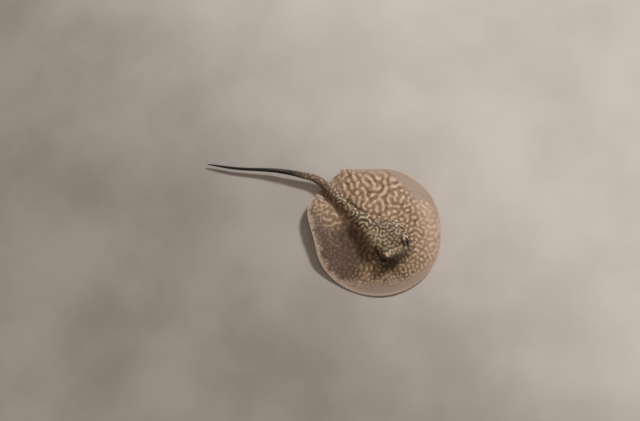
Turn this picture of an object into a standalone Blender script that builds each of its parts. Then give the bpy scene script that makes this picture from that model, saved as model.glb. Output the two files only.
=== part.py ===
"""A freshwater stingray at life size, lying flat with its right side and its tail lifted.

The body is one closed disc, parted by thin cuts into the head, the trunk and the two
pectoral fins. The pelvic fins, the tail's three lengths, the sting and the eyes are pieces
of their own. Frame: the snout points to -Y, the animal's left is +X, up is +Z, and the
flat of the belly lies at z = 0. All sizes below are millimetres, until a mesh is made.
"""
import math

import bmesh
import bpy
from mathutils import Matrix, Vector

MM = 0.001                      # one millimetre in Blender's metres
GAP = 0.3                       # room left between neighbouring pieces

# The disc, seen from above. A bearing is an angle from the snout towards the left side.
HALF_WIDTH = 151.5              # from the middle to the tip of a pectoral fin
HALF_LENGTH = 156.0             # from the middle to the snout
RIM_THICKNESS = 1.2
LEFT_CORNER = 167.0             # bearing of each pectoral fin's rear corner
RIGHT_CORNER = -159.0
MARGIN_WAVES = (                # (bearing, spread, share of the radius added there)
    (142.0, 20.0, -0.050),      # the straight hind margin of the left fin
    (-120.0, 18.0, -0.060),     # and of the right fin
    (169.0, 12.0, 0.055),       # the rear corners reach back
    (-150.0, 13.0, 0.048),
    (82.0, 18.0, 0.014),        # the left fin's tip is the wider one
    (45.0, 22.0, -0.022),
)
ROOT_Y = 112.0                  # where the tail leaves the trunk
ROOT_HALF_WIDTH = 13.0
ROOT_SIDE_Z = 6.5               # height of the tail's widest line at the root

# The middle line swings to the right behind the head: (y, x).
SPINE = ((-160, 0.5), (-60, 0.5), (0, -6.0), (45, -15.5), (110, -16.5), (200, -17.0))
# Height of the back along the middle line: (y, z).
CREST = ((-157, 2.2), (-140, 4.0), (-122, 7.0), (-108, 10.0), (-99, 14.0), (-90, 23.5),
         (-81, 31.0), (-68, 35.5), (-42, 40.0), (-8, 40.5), (28, 37.0), (64, 30.5),
         (104, 23.2), (160, 21.0))
# Half width of the raised back about the middle line: (y, width).
BACK = ((-157, 26), (-120, 32), (-92, 42), (-66, 50), (-35, 54), (-6, 47), (22, 30),
        (48, 19.5), (76, 14.5), (98, 13.2), (112, 13.5), (160, 12.5))
# Half width of head and trunk between the fins' cuts: (y, width).
BORDER = ((-175, 8), (-140, 20), (-105, 36), (-66, 51), (-35, 58), (0, 50), (36, 32),
          (76, 20), (112, 13.0))
NECK_Y = 4.0                    # the cut between head and trunk
LEFT_WING = 14.0                # the left fin's thickness towards the middle, domed outwards
RIGHT_WING = 22.0               # the right fin's, hollowed outwards by a power
RIGHT_HOLLOW = 1.65             # that power
CREASE_DEPTH = 1.6              # the furrow on each side of the trunk
# How far the right margin stands off the ground: (bearing, height).
RIGHT_LIFT = ((-175, 6.5), (-162, 13.5), (-151, 20.5), (-138, 23.0), (-120, 21.0),
              (-105, 15.5), (-93, 8.2), (-80, 3.0), (-60, 0.0))
SNOUT_LIFT = 2.0
CORNER_LIFT = 4.6               # the hind margins lie over the pelvic fins

# The eyes, measured from the middle line.
EYE_SIDE, EYE_Y, EYE_Z = 31.0, -66.5, 34.5
EYE_RADIUS = 6.6
LID_SIDE, LID_Z = 27.0, 31.5    # the mound of skin that holds the eyeball
LID_RADII = (10.5, 13.0, 9.5)
SPIRACLE_SIDE, SPIRACLE_Y, SPIRACLE_Z = 43.0, -40.0, 29.0
SPIRACLE_RADII = (4.4, 7.4, 6.0)
SPIRACLE_TURN = 28.0            # degrees that each slot turns towards its eye

# The tail's middle line: (run along it, x, y, height of its widest line).
TAIL_LINE = ((0, -16.5, 112, 6.5), (19, -16.6, 131, 9.2), (38, -17.0, 150, 11.8),
             (67, -23.9, 179.2, 14.2), (100, -41.5, 207.5, 15.2), (135, -62.2, 235.8, 14.6),
             (171, -85.2, 263.2, 12.4), (252, -142.0, 321.8, 9.0), (321, -185.2, 375.3, 6.8))
# Its section: (run, half width, height above the widest line, depth below it).
TAIL_SECTION = ((0, 13.0, 16.2, 6.0), (19, 12.2, 12.2, 6.8), (38, 10.8, 8.8, 6.4),
                (67, 9.1, 6.0, 4.8), (100, 7.8, 4.8, 4.0), (130, 6.3, 4.2, 3.5),
                (171, 4.9, 3.5, 3.1), (210, 4.0, 3.0, 2.8), (252, 3.4, 2.6, 2.4),
                (295, 2.4, 1.8, 1.7), (321, 0.9, 0.8, 0.8))
TAIL_CUTS = (GAP, 118.0, 222.0, 321.0)
STING_RUN = (128.0, 180.0)      # where the sting starts and ends along the tail
STING_HALF_WIDTH = 2.3
STING_HALF_HEIGHT = 1.0
PELVIC_DEPTH = 16.0             # a pelvic fin thins from under its fin over this depth
PELVIC_TUCK = 3.5               # how far it reaches in under the fin
PELVIC_ROOM = 1.2               # room left between its top and the fin
LEFT_TUCK, RIGHT_TUCK = 5.0, 2.0    # how far each pelvic fin stays short of the corner

OUTER_SPOKES, INNER_SPOKES, CHORD_SPOKES = 72, 5, 6
TOP_RINGS, TOP_RING_STEP = 15, 0.062
RIM_RINGS = (0.97, 1.0)
BELLY_RINGS = (0.38, 0.64, 0.80, 0.87, 0.92, 0.97, 1.0)
TAIL_SIDES = 14

BROWN = (0.205, 0.135, 0.078, 1.0)
DARK_BROWN = (0.060, 0.042, 0.028, 1.0)
HORN = (0.120, 0.090, 0.060, 1.0)
EYE_BLACK = (0.012, 0.010, 0.008, 1.0)


# ------------------------------------------------------------------ curves and heights

def bell(distance, spread):
    """Fall smoothly from 1 at no distance towards 0."""
    return math.exp(-(distance / spread) ** 2)


def ramp(start, end, at):
    """Go smoothly from 0 at start to 1 at end, which may lie on either side of it."""
    t = min(max((at - start) / (end - start), 0.0), 1.0)
    return t * t * (3.0 - 2.0 * t)


def through(stations, at, column=1):
    """Read the smooth curve that passes through the stations' values in one column."""
    last = len(stations) - 1
    at = min(max(at, stations[0][0]), stations[last][0])
    here = max(k for k in range(last) if stations[k][0] <= at)

    def slope(k):
        before, after = stations[max(k - 1, 0)], stations[min(k + 1, last)]
        return (after[column] - before[column]) / (after[0] - before[0])

    step = stations[here + 1][0] - stations[here][0]
    t = (at - stations[here][0]) / step
    return ((2 * t ** 3 - 3 * t ** 2 + 1) * stations[here][column]
            + (t ** 3 - 2 * t ** 2 + t) * step * slope(here)
            + (3 * t ** 2 - 2 * t ** 3) * stations[here + 1][column]
            + (t ** 3 - t ** 2) * step * slope(here + 1))


def turn(bearing, towards):
    """Give the signed angle between two bearings, in degrees."""
    return (bearing - towards + 180.0) % 360.0 - 180.0


def margin(bearing):
    """Give the point of the disc's outer margin on a bearing."""
    side, fore = math.sin(math.radians(bearing)), math.cos(math.radians(bearing))
    radius = 1.0 / math.hypot(side / HALF_WIDTH, fore / HALF_LENGTH)
    for centre, spread, share in MARGIN_WAVES:
        radius *= 1.0 + share * bell(turn(bearing, centre), spread)
    return radius * side, -radius * fore


def between(start, end, share, bulge):
    """Give a point on the line from start to end, bulged out to its right."""
    x = start[0] + (end[0] - start[0]) * share
    y = start[1] + (end[1] - start[1]) * share
    out = bulge * 4.0 * share * (1.0 - share)
    run = math.hypot(end[0] - start[0], end[1] - start[1])
    return x + out * (end[1] - start[1]) / run, y - out * (end[0] - start[0]) / run


def disc_outline():
    """List the rim's points, with how far each lies along a hind margin (0 elsewhere)."""
    root = through(SPINE, ROOT_Y)
    left_notch, right_notch = (root + ROOT_HALF_WIDTH, ROOT_Y), (root - ROOT_HALF_WIDTH, ROOT_Y)
    outline = []
    for k in range(OUTER_SPOKES + 1):
        bearing = LEFT_CORNER + (RIGHT_CORNER - LEFT_CORNER) * k / OUTER_SPOKES
        outline.append((*margin(bearing), 0.0))
    for k in range(1, INNER_SPOKES + 1):
        share = k / INNER_SPOKES
        outline.append((*between(margin(RIGHT_CORNER), right_notch, share, 1.5), share))
    for k in range(1, CHORD_SPOKES):
        share = k / CHORD_SPOKES
        outline.append((*between(right_notch, left_notch, share, 0.0), 1.0))
    for k in range(INNER_SPOKES):
        share = k / INNER_SPOKES
        outline.append((*between(left_notch, margin(LEFT_CORNER), share, 1.5), 1.0 - share))
    return outline


def lift(x, y, reach, hind):
    """Give how far the underside stands off the ground; reach is 0 in the middle, 1 at the rim."""
    bearing = math.degrees(math.atan2(x, -y))
    side = through(RIGHT_LIFT, bearing) if bearing < RIGHT_LIFT[-1][0] else 0.0
    height = side * ramp(0.42, 1.06, reach) ** 1.3 * (1.0 - ramp(0.0, 1.0, hind))
    height += SNOUT_LIFT * bell(bearing, 50.0) * ramp(0.75, 1.0, reach)
    rear = bell(turn(bearing, LEFT_CORNER), 9.0) + bell(turn(bearing, RIGHT_CORNER), 9.0)
    rear = CORNER_LIFT * max(min(rear, 1.0), ramp(0.0, 0.15, hind))
    rear += (ROOT_SIDE_Z - CORNER_LIFT) * hind
    return max(height, rear * ramp(0.80, 0.965, reach))


def back_height(x, y, reach, hind):
    """Give the height of the upper side."""
    ground = lift(x, y, reach, hind)
    dome, hollow = LEFT_WING * (1.0 - reach ** 2), RIGHT_WING * (1.0 - reach) ** RIGHT_HOLLOW
    wing = ground + RIM_THICKNESS + dome + (hollow - dome) * ramp(25.0, -65.0, x)
    width = through(BACK, y)
    across = abs(x - through(SPINE, y)) / width
    rearward = ramp(-20.0, 100.0, y)
    power = 3.6 + (2.0 - 3.6) * rearward
    swell = max(1.0 - across ** power, 0.0) ** (1.35 + (0.55 - 1.35) * rearward)
    crest = through(CREST, y)
    furrow = CREASE_DEPTH * bell(across - 1.12, 0.22) * ramp(10.0, 60.0, y)
    furrow *= 1.0 - ramp(0.93, 1.0, reach)
    return wing + max(crest - wing, 0.0) * swell - furrow


def belly_height(x, y, reach, hind):
    """Give the height of the underside, hollowed to the tail's section at its root."""
    ground = lift(x, y, reach, hind)
    across = min(abs(x - through(SPINE, y)) / ROOT_HALF_WIDTH, 1.0)
    depth = TAIL_SECTION[0][3] * math.sqrt(1.0 - across ** 2) * ramp(0.6, 1.0, hind)
    return max(ground - depth, 0.0)


# ------------------------------------------------------------------ making objects

def material(name, colour, roughness):
    """Make a plain Principled material."""
    finish = bpy.data.materials.new(name)
    finish.use_nodes = True
    shader = finish.node_tree.nodes["Principled BSDF"]
    shader.inputs["Base Color"].default_value = colour
    shader.inputs["Roughness"].default_value = roughness
    shader.inputs["Metallic"].default_value = 0.0
    finish.diffuse_color = colour
    return finish


def add_object(name, points, faces, parent, finish=None):
    """Make a closed mesh object from millimetre points; without a finish it is a cutter."""
    mesh = bpy.data.meshes.new(name)
    mesh.from_pydata([Vector(point) * MM for point in points], [], faces)
    shell = bmesh.new()
    shell.from_mesh(mesh)
    bmesh.ops.triangulate(shell, faces=[face for face in shell.faces if len(face.verts) > 4])
    bmesh.ops.recalc_face_normals(shell, faces=shell.faces)
    shell.to_mesh(mesh)
    shell.free()
    thing = bpy.data.objects.new(name, mesh)
    bpy.context.scene.collection.objects.link(thing)
    thing.parent = parent
    if finish is None:
        thing.hide_render = True
        thing.display_type = "WIRE"
    else:
        mesh.materials.append(finish)
        mesh.shade_smooth()
        mesh.set_sharp_from_angle(angle=math.radians(50.0))
    return thing


def cut(thing, cutter, operation):
    """Add an exact Boolean."""
    step = thing.modifiers.new(operation.title() + " " + cutter.name, "BOOLEAN")
    step.operation = operation
    step.solver = "EXACT"
    step.object = cutter


def ring_faces(rings, sides):
    """List the quads between rings of points that follow each other."""
    return [(ring * sides + k, ring * sides + (k + 1) % sides,
             (ring + 1) * sides + (k + 1) % sides, (ring + 1) * sides + k)
            for ring in range(rings - 1) for k in range(sides)]


def loft(name, rings, parent, finish=None):
    """Make a closed tube from rings of points."""
    sides = len(rings[0])
    faces = ring_faces(len(rings), sides)
    faces.append(tuple(range(sides)))
    faces.append(tuple(range((len(rings) - 1) * sides, len(rings) * sides)))
    return add_object(name, [point for ring in rings for point in ring], faces, parent, finish)


def ball(name, centre, radii, parent, finish=None, turned=0.0, segments=16):
    """Make an ellipsoid, placed by its location and turned about Z."""
    shell = bmesh.new()
    bmesh.ops.create_uvsphere(shell, u_segments=segments, v_segments=segments // 2 + 2,
                              radius=1.0, matrix=Matrix.Diagonal((*radii, 1.0)))
    points = [tuple(vertex.co) for vertex in shell.verts]
    faces = [[vertex.index for vertex in face.verts] for face in shell.faces]
    shell.free()
    thing = add_object(name, points, faces, parent, finish)
    thing.location = Vector(centre) * MM
    thing.rotation_euler = (0.0, 0.0, math.radians(turned))
    return thing


def prism(name, outline, parent):
    """Make an upright cutter that is taller than the body."""
    low, high = -6.0, 70.0
    return loft(name, [[(x, y, low) for x, y in outline], [(x, y, high) for x, y in outline]],
                parent)


# ------------------------------------------------------------------ the body

def disc_mesh():
    """Give the whole disc's points and faces: rings on the back, then rings on the belly."""
    outline = disc_outline()
    sides = len(outline)
    back_rings = [TOP_RING_STEP * k for k in range(1, TOP_RINGS + 1)] + list(RIM_RINGS)
    points = [(0.0, 0.0, back_height(0.0, 0.0, 0.0, 0.0))]
    for reach in back_rings:
        points += [(x * reach, y * reach, back_height(x * reach, y * reach, reach, hind))
                   for x, y, hind in outline]
    belly_start = len(points)
    for reach in reversed(BELLY_RINGS):
        points += [(x * reach, y * reach, belly_height(x * reach, y * reach, reach, hind))
                   for x, y, hind in outline]
    points.append((0.0, 0.0, 0.0))
    faces = [(0, 1 + k, 1 + (k + 1) % sides) for k in range(sides)]
    rings = len(back_rings) + len(BELLY_RINGS)
    faces += [tuple(1 + corner for corner in face) for face in ring_faces(rings, sides)]
    last = belly_start + (len(BELLY_RINGS) - 1) * sides
    faces += [(len(points) - 1, last + (k + 1) % sides, last + k) for k in range(sides)]
    return points, faces


def border(side, offset):
    """List the points of a fin's cut, from in front of the snout to the tail's root."""
    ys = [-175.0 + (ROOT_Y + 175.0) * k / 24 for k in range(25)]
    return [(through(SPINE, y) + side * (through(BORDER, y) + offset), y) for y in ys]


def parted_body(root, skin):
    """Part the disc into head, trunk and pectoral fins, and give the head."""
    points, faces = disc_mesh()
    far = 220.0
    for side, name in ((1, "pectoral_fin_left"), (-1, "pectoral_fin_right")):
        edge = border(side, GAP / 2)
        outline = edge + [(edge[-1][0], far), (side * far, far), (side * far, -175.0)]
        fin = add_object(name, points, faces, root, skin)
        cut(fin, prism("cutter_" + name, outline, root), "INTERSECT")
    left, right = border(1, -GAP / 2), border(-1, -GAP / 2)
    pieces = {}
    for name, low, high in (("head", -far, NECK_Y - GAP / 2), ("trunk", NECK_Y + GAP / 2, far)):
        ends = [(through(SPINE, y) + side * (through(BORDER, y) - GAP / 2), y)
                for side in (1, -1) for y in (max(low, -175.0), min(high, ROOT_Y))]
        inner_left = [point for point in left if low < point[1] < high]
        inner_right = [point for point in right if low < point[1] < high]
        if name == "head":
            outline = inner_left + [ends[1], ends[3]] + inner_right[::-1]
        else:
            tail_end = [(left[-1][0], ROOT_Y + 5.0), (right[-1][0], ROOT_Y + 5.0)]
            outline = [ends[0]] + inner_left + tail_end + inner_right[::-1] + [ends[2]]
        pieces[name] = add_object(name, points, faces, root, skin)
        cut(pieces[name], prism("cutter_" + name, outline, root), "INTERSECT")
    return pieces["head"]


def finish_head(head, root, eye_finish):
    """Raise the mounds round the eyes, sink the spiracles and set the eyeballs."""
    for side, name in ((1, "left"), (-1, "right")):
        middle = through(SPINE, EYE_Y)
        mound = ball("cutter_lid_" + name, (middle + side * LID_SIDE, EYE_Y, LID_Z),
                     LID_RADII, root)
        cut(head, mound, "UNION")
    for side, name in ((1, "left"), (-1, "right")):
        slot = ball("cutter_spiracle_" + name,
                    (through(SPINE, SPIRACLE_Y) + side * SPIRACLE_SIDE, SPIRACLE_Y, SPIRACLE_Z),
                    SPIRACLE_RADII, root, turned=side * SPIRACLE_TURN)
        cut(head, slot, "DIFFERENCE")
        seat = (through(SPINE, EYE_Y) + side * EYE_SIDE, EYE_Y, EYE_Z)
        socket = ball("cutter_socket_" + name, seat, (EYE_RADIUS + GAP,) * 3, root)
        cut(head, socket, "DIFFERENCE")
        ball("eye_" + name, seat, (EYE_RADIUS,) * 3, root, eye_finish)


# ------------------------------------------------------------------ tail and pelvic fins

def tail_frame(run):
    """Give the tail's middle, its level side direction and its heading at a run."""
    def middle(at):
        return Vector([through(TAIL_LINE, at, column) for column in (1, 2, 3)])
    ahead = middle(run + 0.5) - middle(run - 0.5)
    ahead = ahead.normalized() if run > 0.5 else Vector((0.0, 1.0, 0.0))
    side = ahead.cross(Vector((0.0, 0.0, 1.0))).normalized()
    return middle(run), side, ahead


def tail_ring(run, grow=0.0):
    """List the points of the tail's section at a run, grown by a little for a cutter."""
    centre, side, ahead = tail_frame(run)
    rise = side.cross(ahead)
    width, above, below = (through(TAIL_SECTION, run, column) + grow for column in (1, 2, 3))
    ring = []
    for k in range(TAIL_SIDES):
        angle = 2.0 * math.pi * k / TAIL_SIDES
        tall = above if math.sin(angle) > 0.0 else below
        ring.append(centre + side * width * math.cos(angle) + rise * tall * math.sin(angle))
    return ring


def sting_rings(grow=0.0):
    """List the sting's sections: a flat blade that leaves the tail's back at a low angle."""
    start, end = STING_RUN
    rings = []
    for k in range(9):
        share = k / 8
        run = start - grow + (end - start + 2.0 * grow) * share
        centre, side, ahead = tail_frame(run)
        rise = side.cross(ahead)
        taper = max(min(1.0, 0.55 + 2.0 * share) * (1.0 - share ** 2.2), 0.12)
        centre = centre + rise * (through(TAIL_SECTION, run, 2) + 0.1 + 2.0 * share)
        wide = STING_HALF_WIDTH * taper + grow
        tall = STING_HALF_HEIGHT * taper ** 0.6 + grow
        rings.append([centre + side * wide * math.cos(2.0 * math.pi * n / 8)
                      + rise * tall * math.sin(2.0 * math.pi * n / 8) for n in range(8)])
    return rings


def tail(root, skin, dark, horn):
    """Make the tail's three lengths and the sting seated on the middle one."""
    lengths = {}
    names = (("tail_base", skin), ("tail_middle", dark), ("tail_whip", dark))
    for (name, finish), start, end in zip(names, TAIL_CUTS, TAIL_CUTS[1:]):
        last = end if end == TAIL_CUTS[-1] else end - GAP
        count = max(round((last - start) / 9.0), 8)
        rings = [tail_ring(start + (last - start) * k / count) for k in range(count + 1)]
        lengths[name] = loft(name, rings, root, finish)
    loft("sting", sting_rings(), root, horn)
    cut(lengths["tail_middle"], loft("cutter_sting", sting_rings(GAP), root), "DIFFERENCE")


def pelvic_height(point, side, corner, notch, run):
    """Give the lobe's thickness at a point and how far it stands off the ground there."""
    offset = point - notch
    behind = (run.x * offset.y - run.y * offset.x) * side / run.length
    hind = 1.0 - min(max(offset.dot(run) / run.length_squared, 0.0), 1.0)
    x, y = margin(corner)
    over = lift(x, y, 1.0, hind) - PELVIC_ROOM
    share = min(max(offset.x / run.x, 0.0), 1.0)
    base = (lift(x, y, 1.0, 0.0) - CORNER_LIFT) * share
    thin = base + RIM_THICKNESS
    return max(over, thin) + (thin - max(over, thin)) * ramp(0.0, PELVIC_DEPTH, behind), base


def pelvic_fins(root, skin):
    """Make the two thin lobes that fill the notches between the tail and the fins."""
    runs = [2.0 * k for k in range(30)]
    clearance = loft("cutter_tail", [tail_ring(run, GAP) for run in runs], root)
    middle = through(SPINE, ROOT_Y)
    for side, name, corner, tuck in ((1, "left", LEFT_CORNER, LEFT_TUCK),
                                     (-1, "right", RIGHT_CORNER, RIGHT_TUCK)):
        notch = Vector((middle + side * ROOT_HALF_WIDTH, ROOT_Y))
        run = Vector(margin(corner)) - notch
        along, out = run.normalized(), Vector((run.y, -run.x)).normalized() * side
        start = notch + along * 4.0 + out * PELVIC_TUCK
        end = notch + along * (run.length - tuck) + out * PELVIC_TUCK
        inner = Vector((middle + side * (ROOT_HALF_WIDTH - 3.0), ROOT_Y + 40.0))
        front = Vector((middle + side * (ROOT_HALF_WIDTH - 2.0), ROOT_Y + 5.0))
        outline = [start.lerp(end, k / 6) for k in range(6)]
        hind = (inner - end).normalized()
        sag = Vector((-hind.y, hind.x)) * -side
        outline += [end.lerp(inner, k / 7) + sag * 3.5 * math.sin(math.pi * k / 7)
                    for k in range(7)]
        outline += [inner.lerp(front, k / 4) for k in range(5)]
        centre = sum(outline, Vector((0.0, 0.0))) / len(outline)
        centre = centre.lerp(front, 0.25)
        rings = []
        for reach in (0.25, 0.55, 0.8, 0.94, 1.0):
            plan = [centre.lerp(point, reach) for point in outline]
            rings.append([(*point, pelvic_height(point, side, corner, notch, run)[0])
                          for point in plan])
        rings.append([(*point, pelvic_height(point, side, corner, notch, run)[1])
                      for point in outline])
        lobe = loft("pelvic_fin_" + name, rings, root, skin)
        cut(lobe, clearance, "DIFFERENCE")


def main():
    """Clear the scene and build the stingray under one empty."""
    for old in list(bpy.data.objects):
        bpy.data.objects.remove(old, do_unlink=True)
    root = bpy.data.objects.new("stingray", None)
    bpy.context.scene.collection.objects.link(root)
    skin = material("speckled brown skin", BROWN, 0.55)
    dark = material("dark tail skin", DARK_BROWN, 0.50)
    horn = material("sting", HORN, 0.45)
    eye = material("eye", EYE_BLACK, 0.12)
    head = parted_body(root, skin)
    finish_head(head, root, eye)
    tail(root, skin, dark, horn)
    pelvic_fins(root, skin)


main()
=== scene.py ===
"""A freshwater stingray at life size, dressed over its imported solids.

One skin covers the head, the trunk, the fins and the tail. The eyes, the sting, the thorns and
the denticles are pieces of their own. Sizes in the classes are millimetres in the frame of the
solids (snout towards -Y, the animal's left towards +X, the belly flat at z = 0), and they become
metres when a mesh is made. A bearing is an angle in degrees from the snout towards the left.
"""

import logging
import math
from dataclasses import dataclass, field
from enum import Enum
from typing import Sequence

import bmesh
import bpy
import numpy as np
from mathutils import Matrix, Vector


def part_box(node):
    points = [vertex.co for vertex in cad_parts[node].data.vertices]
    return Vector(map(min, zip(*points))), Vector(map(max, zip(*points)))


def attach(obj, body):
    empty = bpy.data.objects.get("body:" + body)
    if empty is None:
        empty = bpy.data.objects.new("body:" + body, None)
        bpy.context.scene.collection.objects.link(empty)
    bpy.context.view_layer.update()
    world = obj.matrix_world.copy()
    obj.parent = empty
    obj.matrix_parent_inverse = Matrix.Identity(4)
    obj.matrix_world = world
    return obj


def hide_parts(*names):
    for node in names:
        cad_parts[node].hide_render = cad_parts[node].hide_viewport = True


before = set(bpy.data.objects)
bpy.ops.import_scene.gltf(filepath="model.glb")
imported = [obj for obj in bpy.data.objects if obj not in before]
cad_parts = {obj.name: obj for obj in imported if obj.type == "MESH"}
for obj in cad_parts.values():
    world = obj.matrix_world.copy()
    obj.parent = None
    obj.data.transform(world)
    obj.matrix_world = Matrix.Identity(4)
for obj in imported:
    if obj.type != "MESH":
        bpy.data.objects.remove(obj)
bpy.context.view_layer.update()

LOG = logging.getLogger("stingray")
MM = 0.001
BODY = "root"
Colour = tuple[float, float, float]


class Side(Enum):
    """The animal's two sides, as the sign of X."""

    LEFT = 1
    RIGHT = -1

    @property
    def word(self) -> str:
        """Give the side's name as the nodes spell it."""
        return self.name.lower()


# ---------------------------------------------------------------------- curves and fields

def bell(distance: np.ndarray, spread: float) -> np.ndarray:
    """Fall smoothly from 1 at no distance towards 0."""
    return np.exp(-(np.asarray(distance) / spread) ** 2)


def ramp(start: float, end: float, at: np.ndarray) -> np.ndarray:
    """Go smoothly from 0 at start to 1 at end, which may lie on either side of it."""
    share = np.clip((np.asarray(at) - start) / (end - start), 0.0, 1.0)
    return share * share * (3.0 - 2.0 * share)


def blend(low: np.ndarray, high: np.ndarray, share: np.ndarray) -> np.ndarray:
    """Go from low to high as share goes from 0 to 1."""
    return low + (high - low) * share


def smooth_max(one: np.ndarray, other: np.ndarray, fillet: float) -> np.ndarray:
    """Give the larger of two heights, with the crease between them rounded."""
    return 0.5 * (one + other + np.sqrt((one - other) ** 2 + fillet * fillet))


def turn(bearing: np.ndarray, towards: float) -> np.ndarray:
    """Give the signed angle between two bearings, in degrees."""
    return (np.asarray(bearing) - towards + 180.0) % 360.0 - 180.0


def turned_about(x: np.ndarray, y: np.ndarray, centre: tuple[float, float],
                 degrees: float) -> tuple[np.ndarray, np.ndarray]:
    """Give how far points lie from a centre, along a turned line and across it."""
    c, s = math.cos(math.radians(degrees)), math.sin(math.radians(degrees))
    dx, dy = x - centre[0], y - centre[1]
    return c * dx + s * dy, c * dy - s * dx


@dataclass(frozen=True)
class Patch:
    """An oval of the plan that fades out across its edge."""

    centre: tuple[float, float]
    radii: tuple[float, float]
    turned: float = 0.0
    fade: tuple[float, float] = (0.6, 1.3)

    def rho(self, x: np.ndarray, y: np.ndarray) -> np.ndarray:
        """Give how far out points of the plan lie, 0 in the middle and 1 on the oval."""
        along, across = turned_about(x, y, self.centre, self.turned)
        return np.hypot(along / self.radii[0], across / self.radii[1])

    def share(self, x: np.ndarray, y: np.ndarray) -> np.ndarray:
        """Give 1 well inside the oval and 0 well outside it."""
        return 1.0 - ramp(*self.fade, self.rho(x, y))


def largest(patches: Sequence[Patch], x: np.ndarray, y: np.ndarray) -> np.ndarray:
    """Give the largest of some patches' shares."""
    return np.max([patch.share(x, y) for patch in patches], axis=0)


@dataclass(frozen=True)
class Profile:
    """A smooth curve through stations, each a key followed by one or more values."""

    stations: tuple[tuple[float, ...], ...]

    def at(self, where: np.ndarray, column: int = 1) -> np.ndarray:
        """Read the curve.

        Args:
            where: The keys to read at; beyond the ends the end values hold.
            column: Which value of the stations to read.

        Returns:
            The values there.
        """
        table = np.array(self.stations, dtype=float)
        keys, values = table[:, 0], table[:, column]
        last = len(keys) - 1
        before = np.maximum(np.arange(last + 1) - 1, 0)
        after = np.minimum(np.arange(last + 1) + 1, last)
        slopes = (values[after] - values[before]) / (keys[after] - keys[before])
        where = np.clip(np.asarray(where, dtype=float), keys[0], keys[-1])
        here = np.clip(np.searchsorted(keys, where, side="right") - 1, 0, last - 1)
        step = keys[here + 1] - keys[here]
        t = (where - keys[here]) / step
        return ((2 * t ** 3 - 3 * t ** 2 + 1) * values[here]
                + (t ** 3 - 2 * t ** 2 + t) * step * slopes[here]
                + (3 * t ** 2 - 2 * t ** 3) * values[here + 1]
                + (t ** 3 - t ** 2) * step * slopes[here + 1])


@dataclass(frozen=True)
class Waviness:
    """A gentle seeded unevenness over the plan."""

    spacing: float
    seed: int
    cells: int = 128

    def at(self, x: np.ndarray, y: np.ndarray) -> np.ndarray:
        """Read the unevenness, about -1 to 1, at points of the plan."""
        lattice = np.random.default_rng(self.seed).uniform(-1.0, 1.0, (self.cells, self.cells))
        half = self.cells / 2
        u, v = np.asarray(x) / self.spacing + half, np.asarray(y) / self.spacing + half
        i, j = np.floor(u).astype(int), np.floor(v).astype(int)
        s, t = ramp(0.0, 1.0, u - i), ramp(0.0, 1.0, v - j)
        i, j = i % self.cells, j % self.cells
        i2, j2 = (i + 1) % self.cells, (j + 1) % self.cells
        low = blend(lattice[i, j], lattice[i2, j], s)
        high = blend(lattice[i, j2], lattice[i2, j2], s)
        return blend(low, high, t)


# ---------------------------------------------------------------------- the body's shape

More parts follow.
